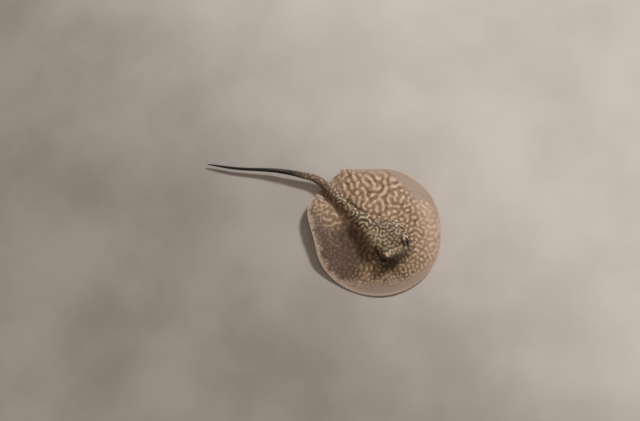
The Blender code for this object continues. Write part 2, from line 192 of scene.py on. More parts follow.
@dataclass(frozen=True)
class Disc:
    """The flat round body: its outline, and the heights of its two sides."""

    half_width: float = 151.5
    half_length: float = 156.0
    rim_thickness: float = 1.2
    rim_round: float = 1.7
    left_corner: float = 167.0
    right_corner: float = -159.0
    waves: tuple[tuple[float, float, float], ...] = (
        (142.0, 20.0, -0.050), (-120.0, 18.0, -0.060), (169.0, 12.0, 0.055),
        (-150.0, 13.0, 0.048), (82.0, 18.0, 0.014), (45.0, 22.0, -0.022))
    root_y: float = 112.0
    root_half_width: float = 13.0
    root_side_z: float = 6.5
    root_depth: float = 6.0
    spine: Profile = Profile((
        (-160, 0.5), (-60, 0.5), (0, -6.0), (45, -15.5), (110, -16.5), (200, -17.0)))
    crest: Profile = Profile((
        (-157, 2.2), (-140, 4.0), (-122, 7.0), (-108, 10.0), (-99, 14.0), (-90, 23.5),
        (-81, 31.0), (-68, 35.5), (-42, 40.0), (-8, 40.5), (28, 37.0), (64, 30.5),
        (104, 23.2), (160, 21.0)))
    back: Profile = Profile((
        (-157, 26), (-120, 32), (-92, 42), (-66, 50), (-35, 54), (-6, 47), (22, 30),
        (48, 19.5), (76, 14.5), (98, 13.2), (112, 13.5), (160, 12.5)))
    left_wing: float = 14.0
    right_wing: float = 22.0
    right_hollow: float = 1.65
    crease_depth: float = 1.6
    crease_place: float = 1.12
    crease_width: float = 0.22
    crest_fillet: float = 1.2
    shoulder_powers: tuple[float, float] = (3.6, 2.0)
    slope_powers: tuple[float, float] = (1.35, 0.55)
    right_lift: Profile = Profile((
        (-175, 6.5), (-162, 13.5), (-151, 20.5), (-138, 23.0), (-120, 21.0), (-105, 15.5),
        (-93, 8.2), (-80, 3.0), (-60, 0.0)))
    lift_reach: tuple[float, float] = (0.42, 1.06)
    lift_power: float = 1.3
    snout_lift: float = 2.0
    snout_spread: float = 50.0
    corner_lift: float = 4.6
    corner_spread: float = 9.0
    flutter: float = 0.45
    flutter_turns: float = 7.0
    flutter_drift: float = 40.0
    hind_bow: float = 6.0
    outer_points: int = 572
    inner_points: int = 24
    chord_points: int = 20

    @property
    def root_x(self) -> float:
        """Give the middle line's place where the tail leaves."""
        return float(self.spine.at(self.root_y))

    def corner(self, side: Side) -> float:
        """Give the bearing of a side's rear corner."""
        return self.left_corner if side is Side.LEFT else self.right_corner

    def notch(self, side: Side) -> np.ndarray:
        """Give the point where a fin's hind margin meets the tail."""
        return np.array([self.root_x + side.value * self.root_half_width, self.root_y])

    def margin(self, bearing: np.ndarray) -> np.ndarray:
        """Give the points of the outer margin on some bearings, one row each."""
        bearing = np.asarray(bearing, dtype=float)
        side, fore = np.sin(np.radians(bearing)), np.cos(np.radians(bearing))
        radius = 1.0 / np.hypot(side / self.half_width, fore / self.half_length)
        for centre, spread, share in self.waves:
            radius = radius * (1.0 + share * bell(turn(bearing, centre), spread))
        return np.stack([radius * side, -radius * fore], -1)

    def hind_margin(self, side: Side, shares: np.ndarray) -> np.ndarray:
        """Give points of a fin's short hind margin.

        Args:
            side: Which fin.
            shares: How far each point lies from the rear corner (0) to the tail (1).

        Returns:
            The points, one row each.
        """
        corner = self.margin(self.corner(side))
        shares = np.asarray(shares)[:, None]
        run = self.notch(side) - corner
        out = np.array([run[1], -run[0]]) / np.hypot(*run) * -side.value
        return corner + run * shares + out * self.hind_bow * shares * (1.0 - shares)

    def outline(self) -> tuple[np.ndarray, np.ndarray]:
        """List the rim from the left corner round the snout, and back along the tail's root.

        Returns:
            The points, one row each, and how far each lies along a hind margin (0 elsewhere).
        """
        bearings = np.linspace(self.left_corner, self.right_corner, self.outer_points + 1)
        shares = np.arange(1, self.inner_points + 1) / self.inner_points
        angles = np.pi * np.arange(1, self.chord_points) / self.chord_points
        chord = np.stack([self.root_x - self.root_half_width * np.cos(angles),
                          np.full(len(angles), self.root_y)], -1)
        points = np.concatenate([self.margin(bearings), self.hind_margin(Side.RIGHT, shares),
                                 chord, self.hind_margin(Side.LEFT, shares[::-1])])
        hind = np.concatenate([np.zeros(len(bearings)), shares, np.ones(len(angles)),
                               shares[::-1]])
        return points, hind

    def place(self, x: np.ndarray, y: np.ndarray) -> tuple[np.ndarray, ...]:
        """Say where points of the plan lie in the disc.

        Args:
            x, y: The points.

        Returns:
            Their bearing, their reach (0 in the middle, 1 at the rim), how far their spoke
            ends along a hind margin, and their distance from the rim in millimetres.
        """
        points, hind = self.outline()
        around = np.degrees(np.unwrap(np.arctan2(points[:, 0], -points[:, 1])))[::-1]
        radius = np.hypot(points[:, 0], points[:, 1])[::-1]
        bearing = np.degrees(np.arctan2(x, -y))
        seen = np.where(bearing > around[-1], bearing - 360.0, bearing)
        full = np.interp(seen, around, radius)
        reach = np.hypot(x, y) / full
        return bearing, reach, np.interp(seen, around, hind[::-1]), (1.0 - reach) * full

    def lift(self, bearing: np.ndarray, reach: np.ndarray, hind: np.ndarray) -> np.ndarray:
        """Give how far the underside stands off the ground.

        Args:
            bearing, reach, hind: Where the points lie, as place gives it.

        Returns:
            The heights.
        """
        height = self.right_lift.at(bearing) * ramp(*self.lift_reach, reach) ** self.lift_power
        height = height * (1.0 - ramp(0.0, 1.0, hind))
        snout = self.snout_lift * bell(bearing, self.snout_spread)
        height = height + snout * ramp(0.75, 1.0, reach)
        rear = bell(turn(bearing, self.left_corner), self.corner_spread)
        rear = rear + bell(turn(bearing, self.right_corner), self.corner_spread)
        rear = self.corner_lift * np.maximum(np.minimum(rear, 1.0), ramp(0.0, 0.15, hind))
        rear = rear + (self.root_side_z - self.corner_lift) * hind
        drift = self.flutter_drift * np.sin(np.radians(3 * bearing))
        waves = 1.0 + np.sin(np.radians(bearing * self.flutter_turns + drift))
        waves = self.flutter * waves * ramp(0.86, 1.0, reach) * (1.0 - ramp(0.0, 0.1, hind))
        return np.maximum(height, rear * ramp(0.80, 0.965, reach)) + waves

    def rounding(self, hind: np.ndarray, inset: np.ndarray) -> np.ndarray:
        """Give 0 on the rim and 1 inside it, so that the two sides meet in a round edge."""
        share = np.clip(inset / self.rim_round, 0.0, 1.0)
        return np.maximum(np.sqrt(1.0 - (1.0 - share) ** 2), ramp(0.985, 1.0, hind))

    def across(self, x: np.ndarray, y: np.ndarray) -> np.ndarray:
        """Give the distance from the middle line as a share of the trunk's half width."""
        return np.abs(x - self.spine.at(y)) / self.back.at(y)

    def back_height(self, x: np.ndarray, y: np.ndarray) -> np.ndarray:
        """Give the height of the upper side, before the eyes and the spiracles."""
        bearing, reach, hind, inset = self.place(x, y)
        ground = self.lift(bearing, reach, hind)
        edge = self.rim_thickness * (0.5 + 0.5 * self.rounding(hind, inset))
        hollow = np.maximum(1.0 - reach, 0.0) ** self.right_hollow
        wing = ground + edge + blend(self.left_wing * (1.0 - reach ** 2),
                                     self.right_wing * hollow, ramp(25.0, -65.0, x))
        across = self.across(x, y)
        rearward = ramp(-20.0, 100.0, y)
        swell = np.maximum(1.0 - across ** blend(*self.shoulder_powers, rearward), 0.0)
        swell = swell ** blend(*self.slope_powers, rearward)
        furrow = self.crease_depth * bell(across - self.crease_place, self.crease_width)
        furrow = furrow * ramp(10.0, 60.0, y) * (1.0 - ramp(0.93, 1.0, reach))
        rise = smooth_max(self.crest.at(y) - wing, np.zeros_like(wing), self.crest_fillet)
        return wing + rise * swell - furrow

    def belly_height(self, x: np.ndarray, y: np.ndarray) -> np.ndarray:
        """Give the height of the underside, hollowed to the tail's section at its root."""
        bearing, reach, hind, inset = self.place(x, y)
        ground = self.lift(bearing, reach, hind)
        across = np.clip(np.abs(x - self.spine.at(y)) / self.root_half_width, 0.0, 1.0)
        depth = self.root_depth * np.sqrt(1.0 - across ** 2) * ramp(0.6, 1.0, hind)
        edge = self.rim_thickness * 0.5 * (1.0 - self.rounding(hind, inset))
        return np.maximum(ground - depth, 0.0) + edge


@dataclass(frozen=True)
class EyeSeat:
    """The knob of skin that holds one eye, with the lids round it."""

    side: Side
    centre: tuple[float, float, float]
    radius: float
    gaze: tuple[float, float, float]
    mound_inset: float = 3.0
    mound_radii: tuple[float, float] = (11.5, 14.5)
    mound_top: float = 40.6
    mound_fade: tuple[float, float] = (0.48, 1.12)
    moat_depth: float = 0.7
    moat_place: float = 1.22
    moat_width: float = 0.16
    lid: float = 0.7
    bead: float = 0.35
    bead_out: float = 7.0
    bead_width: float = 6.0
    fillet: float = 0.8
    opening: float = 57.0
    opening_edge: float = 5.0
    tuck: float = 0.9
    socket_depth: float = 2.5
    slack: float = 0.4

    @classmethod
    def from_frame(cls, side: Side) -> "EyeSeat":
        """Seat the eye where its solid is, looking outwards, a little forwards and up."""
        low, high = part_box("eye_" + side.word)
        centre = tuple((low[k] + high[k]) / 2.0 / MM for k in range(3))
        gaze = Vector((side.value * 0.90, -0.22, 0.32)).normalized()
        return cls(side, centre, (high[2] - low[2]) / 2.0 / MM, tuple(gaze))

    def cover(self, x: np.ndarray, y: np.ndarray, skin: np.ndarray) -> np.ndarray:
        """Raise the knob over the eyeball and open the lids.

        Args:
            x, y: Points of the plan.
            skin: The height of the back there.

        Returns:
            The new height.
        """
        cx, cy, cz = self.centre
        middle = (cx - self.side.value * self.mound_inset, cy)
        rho = Patch(middle, self.mound_radii).rho(x, y)
        knob = blend(self.mound_top, skin, ramp(*self.mound_fade, rho))
        skin = np.where(rho < self.mound_fade[1], np.maximum(skin, knob), skin)
        skin = skin - self.moat_depth * bell(rho - self.moat_place, self.moat_width)
        dx, dy = x - cx, y - cy
        far = np.hypot(dx, dy)
        shell, inner = self.radius + self.lid, self.radius - self.tuck
        up = np.sqrt(np.maximum(shell ** 2 - far ** 2, 0.0))
        facing = (dx * self.gaze[0] + dy * self.gaze[1] + up * self.gaze[2]) / shell
        facing = facing / np.maximum(np.hypot(far, up) / shell, 1.0)
        angle = np.degrees(np.arccos(np.clip(facing, -1.0, 1.0)))
        open_share = 1.0 - ramp(self.opening - self.opening_edge,
                                self.opening + self.opening_edge, angle)
        bead = self.bead * bell(angle - self.opening - self.bead_out, self.bead_width)
        covered = smooth_max(skin, np.where(far < shell, cz + up + bead, skin), self.fillet)
        ball = np.sqrt(np.maximum(inner ** 2 - far ** 2, 0.0))
        under = np.minimum(np.where(far < inner, cz + ball, cz - self.socket_depth), covered)
        return np.where(far < shell + self.slack, blend(covered, under, open_share), covered)


@dataclass(frozen=True)
class Spiracle:
    """The breathing hole behind one eye."""

    side: Side
    offset: float = 43.0
    y: float = -41.0
    radii: tuple[float, float] = (4.6, 7.8)
    turned: float = 28.0
    depth: float = 4.0
    wall: tuple[float, float] = (0.45, 1.05)
    lip: float = 0.8
    lip_place: float = 1.3
    lip_width: float = 0.28

    def patch(self, disc: Disc) -> Patch:
        """Give the hole's oval, which is 1 on its lip."""
        centre = (float(disc.spine.at(self.y)) + self.side.value * self.offset, self.y)
        return Patch(centre, self.radii, self.side.value * self.turned)

    def sink(self, x: np.ndarray, y: np.ndarray, skin: np.ndarray, disc: Disc) -> np.ndarray:
        """Sink the hole into a height and raise its lip."""
        rho = self.patch(disc).rho(x, y)
        sunk = skin - self.depth * (1.0 - ramp(*self.wall, rho))
        return sunk + self.lip * bell(rho - self.lip_place, self.lip_width)


@dataclass(frozen=True)
class Groove:
    """A short bent groove in the underside."""

    x: float
    y: float
    length: float
    turned: float
    bend: float
    width: float
    depth: float

    def at(self, x: np.ndarray, y: np.ndarray) -> np.ndarray:
        """Give the groove's depth at points of the plan."""
        along, across = turned_about(x, y, (self.x, self.y), self.turned)
        half = self.length / 2.0
        across = across - self.bend * (1.0 - (along / half) ** 2)
        ends = 1.0 - ramp(0.75, 1.1, np.abs(along) / half)
        return self.depth * bell(across, self.width) * ends


@dataclass(frozen=True)
class Underside:
    """The mouth, nostrils, gill slits and vent, cut into the belly."""

    disc: Disc
    mouth_y: float = -93.0
    vent_y: float = 97.0
    gill_pairs: int = 5
    gills_from: float = -73.0
    gills_run: float = 46.0
    gills_out: float = 36.0
    gills_narrowing: float = 9.0

    def grooves(self) -> list[Groove]:
        """List every groove, placed about the middle line."""
        mid = float(self.disc.spine.at(self.mouth_y))
        found = [Groove(mid, self.mouth_y, 27.0, 0.0, -1.6, 0.9, 1.8),
                 Groove(mid, self.mouth_y + 3.4, 22.0, 0.0, -1.4, 0.7, 0.6),
                 Groove(mid, self.mouth_y - 3.0, 24.0, 0.0, -2.2, 0.6, 0.8),
                 Groove(float(self.disc.spine.at(self.vent_y)), self.vent_y, 15.0, 90.0, 0.0,
                        1.1, 1.8)]
        for side in Side:
            sign = side.value
            found.append(Groove(mid + sign * 15.5, self.mouth_y - 11.0, 9.0, 62.0 * sign,
                                sign * 1.0, 1.5, 2.4))
            found.append(Groove(mid + sign * 13.0, self.mouth_y - 5.0, 11.0, 70.0 * sign,
                                0.0, 0.6, 0.8))
            for pair in range(self.gill_pairs):
                share = pair / (self.gill_pairs - 1)
                y = self.gills_from + self.gills_run * share
                out = self.gills_out - self.gills_narrowing * share
                x = float(self.disc.spine.at(y)) + sign * out
                found.append(Groove(x, y, 10.5 - 2.0 * share, sign * (12.0 + 14.0 * share),
                                    1.3, 0.8, 1.5))
        return found

    def depth(self, x: np.ndarray, y: np.ndarray) -> np.ndarray:
        """Give how deep the grooves are at points of the plan."""
        return np.max([groove.at(x, y) for groove in self.grooves()], axis=0)


@dataclass(frozen=True)
class Tail:
    """The tail: a line through the air and a section along it."""

    disc: Disc
    line: Profile = Profile((
        (0, -16.5, 112, 6.5), (19, -16.6, 131, 9.2), (38, -17.0, 150, 11.8),
        (67, -23.9, 179.2, 14.2), (100, -41.5, 207.5, 15.2), (135, -62.2, 235.8, 14.6),
        (171, -85.2, 263.2, 12.4), (252, -142.0, 321.8, 9.0), (321, -185.2, 375.3, 6.8)))
    section: Profile = Profile((
        (0, 13.0, 16.2, 6.0), (19, 12.2, 12.2, 6.8), (38, 10.8, 8.8, 6.4), (67, 9.1, 6.0, 4.8),
        (100, 7.8, 4.8, 4.0), (130, 6.3, 4.2, 3.5), (171, 4.9, 3.5, 3.1), (210, 4.0, 3.0, 2.8),
        (252, 3.4, 2.6, 2.4), (295, 2.4, 1.8, 1.7), (321, 0.9, 0.8, 0.8)))
    keel: Profile = Profile((
        (0, 0.0), (176, 0.0), (196, 0.9), (255, 0.8), (300, 0.3), (321, 0.0)))
    fold: Profile = Profile((
        (0, 0.0), (118, 0.0), (150, 1.1), (230, 1.2), (290, 0.5), (321, 0.0)))
    ridge_spread: float = 0.22
    length: float = 321.0
    ring_step: float = 1.6
    blend_run: float = 16.0

    def middle(self, run: float) -> Vector:
        """Give the middle line's point at a run."""
        return Vector([float(self.line.at(run, column)) for column in (1, 2, 3)])

    def axes(self, run: float) -> tuple[Vector, Vector, Vector]:
        """Give the directions to the tail's left, upwards and ahead at a run."""
        ahead = self.middle(run + 0.5) - self.middle(run - 0.5)
        ahead = ahead.normalized() if run > 0.5 else Vector((0.0, 1.0, 0.0))
        side = ahead.cross(Vector((0.0, 0.0, 1.0))).normalized()
        return side, side.cross(ahead), ahead

    def point(self, run: float, angle: float, out: float = 0.0) -> Vector:
        """Give a point of the surface.

        Args:
            run: How far along the tail.
            angle: Radians from the tail's left, rising over its back.
            out: How far off the surface.

        Returns:
            The point.
        """
        side, rise, _ = self.axes(run)
        width, above, below = (float(self.section.at(run, k)) for k in (1, 2, 3))
        above += float(self.keel.at(run) * bell(angle - math.pi / 2, self.ridge_spread))
        below += float(self.fold.at(run) * bell(angle + math.pi / 2, self.ridge_spread))
        tall = (above if math.sin(angle) > 0.0 else below) + out
        return (self.middle(run) + side * (width + out) * math.cos(angle)
                + rise * tall * math.sin(angle))


@dataclass(frozen=True)
class PelvicFin:
    """One of the two thin lobes that fill the notches beside the tail."""

    disc: Disc
    side: Side
    depth: float = 16.0
    lap: float = 0.9
    tucked: float = 3.5
    sag: float = 3.5
    notch_gap: float = 4.0
    tip_gaps: tuple[float, float] = (5.0, 2.0)
    inner_corner: tuple[float, float] = (3.0, 40.0)
    front_corner: tuple[float, float] = (2.0, 5.0)
    steps: tuple[int, int, int] = (20, 24, 14)
    sides: int = 90
    ribs: int = 15
    rib_height: float = 0.16
    edge_reach: float = 0.93
    reaches: tuple[float, ...] = (0.12, 0.25, 0.4, 0.55, 0.68, 0.8, 0.88, 0.94, 0.975, 0.993, 1.0)
    under_reaches: tuple[float, ...] = (0.985, 0.93, 0.6, 0.25)

    def tip(self) -> np.ndarray:
        """Give the disc's rear corner, which the lobe reaches towards."""
        return self.disc.margin(self.disc.corner(self.side))

    def corners(self) -> list[Vector]:
        """List the lobe's outline roughly: along the fin, round its tip and back to the tail."""
        disc, sign = self.disc, self.side.value
        notch = Vector(disc.notch(self.side))
        run = Vector(self.tip()) - notch
        tip_gap = self.tip_gaps[0 if self.side is Side.LEFT else 1]
        along, out = run.normalized(), Vector((run.y, -run.x)).normalized() * sign
        start = notch + along * self.notch_gap + out * self.tucked
        end = notch + along * (run.length - tip_gap) + out * self.tucked
        inner, front = [
            Vector((disc.root_x + sign * (disc.root_half_width - inset), disc.root_y + behind))
            for inset, behind in (self.inner_corner, self.front_corner)]
        hind = (inner - end).normalized()
        sag = Vector((-hind.y, hind.x)) * -sign * self.sag
        fore, aft, home = self.steps
        outline = [start.lerp(end, k / fore) for k in range(fore)]
        outline += [end.lerp(inner, k / aft) + sag * math.sin(math.pi * k / aft)
                    for k in range(aft)]
        return outline + [inner.lerp(front, k / home) for k in range(home + 1)]

    def outline(self) -> np.ndarray:
        """Give the lobe's outline with its corners rounded, evenly stepped."""
        loop = np.array([tuple(corner) for corner in self.corners()])
        closed = np.vstack([loop, loop[:1]])
        run = np.concatenate([[0.0], np.cumsum(np.hypot(*np.diff(closed, axis=0).T))])
        even = np.linspace(0.0, run[-1], self.sides, endpoint=False)
        points = np.stack([np.interp(even, run, closed[:, k]) for k in (0, 1)], -1)
        for _ in range(3):
            points = 0.5 * points + 0.25 * (np.roll(points, 1, 0) + np.roll(points, -1, 0))
        return points

    def base(self, plan: np.ndarray) -> np.ndarray:
        """Give how far the lobe's underside stands off the ground, which follows its fin."""
        corner = self.disc.corner(self.side)
        high = float(self.disc.lift(np.array(corner), np.array(1.0), np.array(0.0)))
        root_x = self.disc.notch(self.side)[0]
        share = np.clip((plan[:, 0] - root_x) / (self.tip()[0] - root_x), 0.0, 1.0)
        return (high - self.disc.corner_lift) * share

    def top(self, plan: np.ndarray) -> np.ndarray:
        """Give the lobe's upper side, which thins rearwards from under its fin.

        Args:
            plan: Points of the plan, one row each.

        Returns:
            The heights.
        """
        disc, notch = self.disc, self.disc.notch(self.side)
        run = self.tip() - notch
        long = float(np.hypot(*run))
        behind = (plan - notch) @ np.array([-run[1], run[0]]) * self.side.value / long
        hind = 1.0 - np.clip((plan - notch) @ run / long ** 2, 0.0, 1.0)
        over = disc.lift(np.array(disc.corner(self.side)), np.array(1.0), hind) + self.lap
        thin = self.base(plan) + disc.rim_thickness
        return blend(np.maximum(over, thin), thin, ramp(0.0, self.depth, behind))

    def rings(self) -> tuple[np.ndarray, list[np.ndarray]]:
        """Give the lobe's middle and its rings, over the top to the rim and back beneath."""
        rim = self.outline()
        centre = rim.mean(axis=0)
        edge, rings = self.disc.rim_thickness, []
        waves = self.rib_height * np.sin(np.arange(self.sides) * 2.0 * np.pi * self.ribs
                                         / self.sides)
        for reach in self.reaches:
            plan = centre + (rim - centre) * reach
            ribs = waves * float(ramp(0.4, 0.9, np.array(reach))) * min(1.0, 6.0 * (1.0 - reach))
            z = blend(self.base(plan) + edge * 0.5, self.top(plan), self.roundness(reach))
            rings.append(np.column_stack([plan, z + ribs]))
        for reach in self.under_reaches:
            plan = centre + (rim - centre) * reach
            low = edge * 0.5 * (1.0 - self.roundness(reach))
            rings.append(np.column_stack([plan, self.base(plan) + low]))
        return centre, rings

    def roundness(self, reach: float) -> float:
        """Give 0 on the lobe's rim and 1 inside its round edge."""
        past = max(reach - self.edge_reach, 0.0) / (1.0 - self.edge_reach)
        return math.sqrt(max(1.0 - past ** 2, 0.0))


# ---------------------------------------------------------------------- the markings

@dataclass
class Markings:
    """Pale worms, spots and rings, grown by a rule: near cells agree and far ones differ."""

    disc: Disc
    cell: float = 0.68
    west: float = -172.0
    south: float = -172.0
    columns: int = 512
    rows: int = 640
    steps: int = 4
    gain: float = 1.1
    band: float = 0.62
    seed: int = 21
    worm: float = 15.8
    spot: float = 12.3
    fine: float = 8.0
    grain: float = 4.5
    streak: float = 0.8
    base_bias: float = -0.10
    spot_bias: float = -0.30
    head_bias: float = -0.26
    right_bias: float = -0.40
    strays: tuple[tuple[float, float], ...] = ((7.5, 0.40), (24.0, 0.45))
    ring_lift: float = 0.25
    ring_from: float = 0.9
    ring_depth: float = 1.6
    head: Patch = Patch((0.0, -45.0), (56.0, 60.0), fade=(0.85, 1.15))
    ringed: Patch = Patch((0.0, -40.0), (52.0, 58.0), fade=(0.75, 1.05))
    wormy: tuple[tuple[float, Patch], ...] = (
        (1.0, Patch((70.0, 58.0), (52.0, 60.0))), (0.5, Patch((-54.0, 86.0), (32.0, 48.0))),
        (0.55, Patch((30.0, 95.0), (40.0, 45.0))))
    field: np.ndarray = field(init=False, repr=False)

    def __post_init__(self) -> None:
        """Grow the markings once."""
        self.field = self.grow()

    def plan(self) -> tuple[np.ndarray, np.ndarray]:
        """Give the grid's points."""
        x = self.west + self.cell * np.arange(self.columns)
        y = self.south + self.cell * np.arange(self.rows)
        return np.meshgrid(x, y, indexing="ij")

    def start(self, x: np.ndarray, y: np.ndarray) -> np.ndarray:
        """Give the first state: grain, which is drawn out towards the margin."""
        angle, far = np.arctan2(x, -y), np.hypot(x, y)
        streaks = Waviness(1.0, self.seed).at(angle * 17.0, far / 22.0)
        grain = np.random.default_rng(self.seed + 1).standard_normal(x.shape)
        return self.grain * grain + self.streak * streaks * ramp(60.0, 110.0, far)

    def zones(self, x: np.ndarray, y: np.ndarray) -> tuple[np.ndarray, ...]:
        """Share the plan among worms, spots and the head's finer rings.

        Args:
            x, y: The points.

        Returns:
            The shares of worms, spots and rings, and the bias towards pale or dark.
        """
        _, reach, _, _ = self.disc.place(x, y)
        across = np.abs(x - self.disc.spine.at(y))
        stray = Waviness(17.0, self.seed + 2).at(x, y)
        head = self.head.share(x, y)
        trunk = (1.0 - ramp(14.0, 24.0, across)) * ramp(-10.0, 20.0, y)
        worm = np.max([most * patch.share(x, y) for most, patch in self.wormy], axis=0)
        worm = np.clip(worm + 0.25 * stray, 0.0, 1.0) * (1.0 - np.maximum(head, trunk))
        outer = ramp(0.50, 0.80, reach) * np.maximum(ramp(60.0, -20.0, x), 0.40)
        fine = np.clip(np.maximum(outer, 0.55 * trunk) + 0.30 * stray, 0.0, 1.0) * (1.0 - worm)
        fine = blend(fine, 0.75, head)
        spot = 1.0 - fine - worm
        bias = self.base_bias + self.spot_bias * (1.0 - worm) + self.head_bias * head
        return worm, spot, fine, bias + self.right_bias * ramp(-60.0, -105.0, x)

    def grow(self) -> np.ndarray:
        """Repeat the rule: filter to the wanted spacing, add the bias, and sharpen."""
        x, y = self.plan()
        worm, spot, fine, bias = self.zones(x, y)
        fx = np.fft.fftfreq(self.columns, self.cell)[:, None]
        fy = np.fft.rfftfreq(self.rows, self.cell)[None, :]
        pitch = np.hypot(fx, fy)
        filters = [np.exp(-((pitch * size - 1.0) / self.band) ** 2)
                   for size in (self.worm, self.spot, self.fine)]
        state = self.start(x, y)
        for _ in range(self.steps):
            spectrum = np.fft.rfft2(state)
            parts = [np.fft.irfft2(spectrum * passed, s=x.shape) for passed in filters]
            felt = worm * parts[0] + spot * parts[1] + fine * parts[2]
            felt /= felt.std()
            state = np.tanh(self.gain * (felt + bias))
        ringed = self.ringed.share(x, y)
        stray = sum(share * Waviness(size, self.seed + 3 + k).at(x, y)
                    for k, (size, share) in enumerate(self.strays))
        hollow = self.ring_depth * ringed * np.maximum(felt - self.ring_from, 0.0)
        return felt + stray + self.ring_lift * ringed - hollow

    def read(self, x: np.ndarray, y: np.ndarray) -> np.ndarray:
        """Read the markings at points of the plan.

        Args:
            x, y: The points.

        Returns:
            Values above 0 on what is pale and below it between.
        """
        u = np.clip((np.asarray(x) - self.west) / self.cell, 0.0, self.columns - 1.001)
        v = np.clip((np.asarray(y) - self.south) / self.cell, 0.0, self.rows - 1.001)
        i, j = u.astype(int), v.astype(int)
        s, t = u - i, v - j
        low = blend(self.field[i, j], self.field[i + 1, j], s)
        high = blend(self.field[i, j + 1], self.field[i + 1, j + 1], s)
        return blend(low, high, t)


# ---------------------------------------------------------------------- meshes

@dataclass
class Shell:
    """Points, faces and named values gathered for one mesh."""

    points: list[np.ndarray] = field(default_factory=list)
    faces: list[tuple[int, ...]] = field(default_factory=list)
    traits: dict[str, list[np.ndarray]] = field(default_factory=dict)
    count: int = 0

    def add(self, points: np.ndarray, **traits: np.ndarray) -> int:
        """Add points with their values.

        Args:
            points: One row each.
            traits: One value for each point, or one for them all, by name.

        Returns:
            The number of the first new point.
        """
        start, size = self.count, len(points)
        for name in set(self.traits) | set(traits):
            kept = self.traits.setdefault(name, [np.zeros(start)])
            kept.append(np.broadcast_to(traits.get(name, 0.0), (size,)).astype(float))
        self.points.append(np.asarray(points, dtype=float))
        self.count += size
        return start

    def mesh(self, name: str, finish: bpy.types.Material) -> bpy.types.Object:
        """Make the mesh object, smooth, in metres, with its values as attributes."""
        data = bpy.data.meshes.new(name)
        data.from_pydata((np.vstack(self.points) * MM).tolist(), [], self.faces)
        for trait, parts in sorted(self.traits.items()):
            values = np.concatenate(parts)
            data.attributes.new(trait, "FLOAT", "POINT").data.foreach_set("value", values)
        data.materials.append(finish)
        data.shade_smooth()
        data.validate()
        thing = bpy.data.objects.new(name, data)
        bpy.context.scene.collection.objects.link(thing)
        return thing


def ring_faces(outer: int, inner: int, sides: int, flip: bool = False) -> list[tuple[int, ...]]:
    """List the quads between two rings of the same number of points.

    Args:
        outer, inner: The first point of each ring.
        sides: How many points each has.
        flip: Turns the faces over.

    Returns:
        The faces.
    """
    faces = [(outer + k, outer + (k + 1) % sides, inner + (k + 1) % sides, inner + k)
             for k in range(sides)]
    return [face[::-1] for face in faces] if flip else faces


def fan_faces(ring: int, hub: int, sides: int, flip: bool = False) -> list[tuple[int, ...]]:
    """List the triangles between a ring and the point in its middle."""
    faces = [(ring + k, ring + (k + 1) % sides, hub) for k in range(sides)]
    return [face[::-1] for face in faces] if flip else faces


def halving_faces(outer: int, inner: int, sides: int, flip: bool) -> list[tuple[int, ...]]:
    """List the triangles between a ring and one of half as many points inside it."""
    faces = []
    for k in range(sides // 2):
        a, b, c = outer + 2 * k, outer + 2 * k + 1, outer + (2 * k + 2) % sides
        here, after = inner + k, inner + (k + 1) % (sides // 2)
        faces += [(a, b, here), (b, after, here), (b, c, after)]
    return [face[::-1] for face in faces] if flip else faces


@dataclass(frozen=True)
class Zone:
    """An oval of the plan in which the mesh is made finer."""

    centre: tuple[float, float]
    radii: tuple[float, float]
    cuts: int = 1

    def holds(self, x: float, y: float) -> bool:
        """Say whether a point lies in the oval."""
        dx, dy = (x - self.centre[0]) / self.radii[0], (y - self.centre[1]) / self.radii[1]
        return dx * dx + dy * dy < 1.0


@dataclass
class Sheet:
    """One side of the disc in plan: rings from the rim inwards, finer where it matters."""

    rim: np.ndarray
    rows: list[tuple[float, int]]
    zones: Sequence[Zone]
    faces_up: bool

    def build(self) -> tuple[np.ndarray, list[tuple[int, ...]]]:
        """Give the plan's points, those of the rim first, and its faces."""
        points, faces, starts = [], [], []
        for reach, stride in self.rows:
            starts.append(sum(len(ring) for ring in points))
            points.append(self.rim[::stride] * reach)
        for k in range(len(points) - 1):
            outer, inner, sides = starts[k], starts[k + 1], len(points[k])
            same = sides == len(points[k + 1])
            stitch = ring_faces if same else halving_faces
            faces += stitch(outer, inner, sides, self.faces_up)
        hub, last, sides = starts[-1] + len(points[-1]), starts[-1], len(points[-1])
        points.append(np.zeros((1, 2)))
        faces += fan_faces(last, hub, sides, self.faces_up)
        return self.refine(np.vstack(points), faces)

    def refine(self, plan: np.ndarray,
               faces: list[tuple[int, ...]]) -> tuple[np.ndarray, list[tuple[int, ...]]]:
        """Cut the edges inside each zone."""
        shell = bmesh.new()
        corners = [shell.verts.new((x, y, 0.0)) for x, y in plan]
        for face in faces:
            shell.faces.new([corners[k] for k in face])
        for zone in self.zones:
            edges = [edge for edge in shell.edges
                     if all(zone.holds(end.co.x, end.co.y) for end in edge.verts)]
            bmesh.ops.subdivide_edges(shell, edges=edges, cuts=zone.cuts, use_grid_fill=True)
        shell.verts.index_update()
        finer = np.array([(vertex.co.x, vertex.co.y) for vertex in shell.verts])
        cut_faces = [tuple(vertex.index for vertex in face.verts) for face in shell.faces]
        shell.free()
        return finer, cut_faces


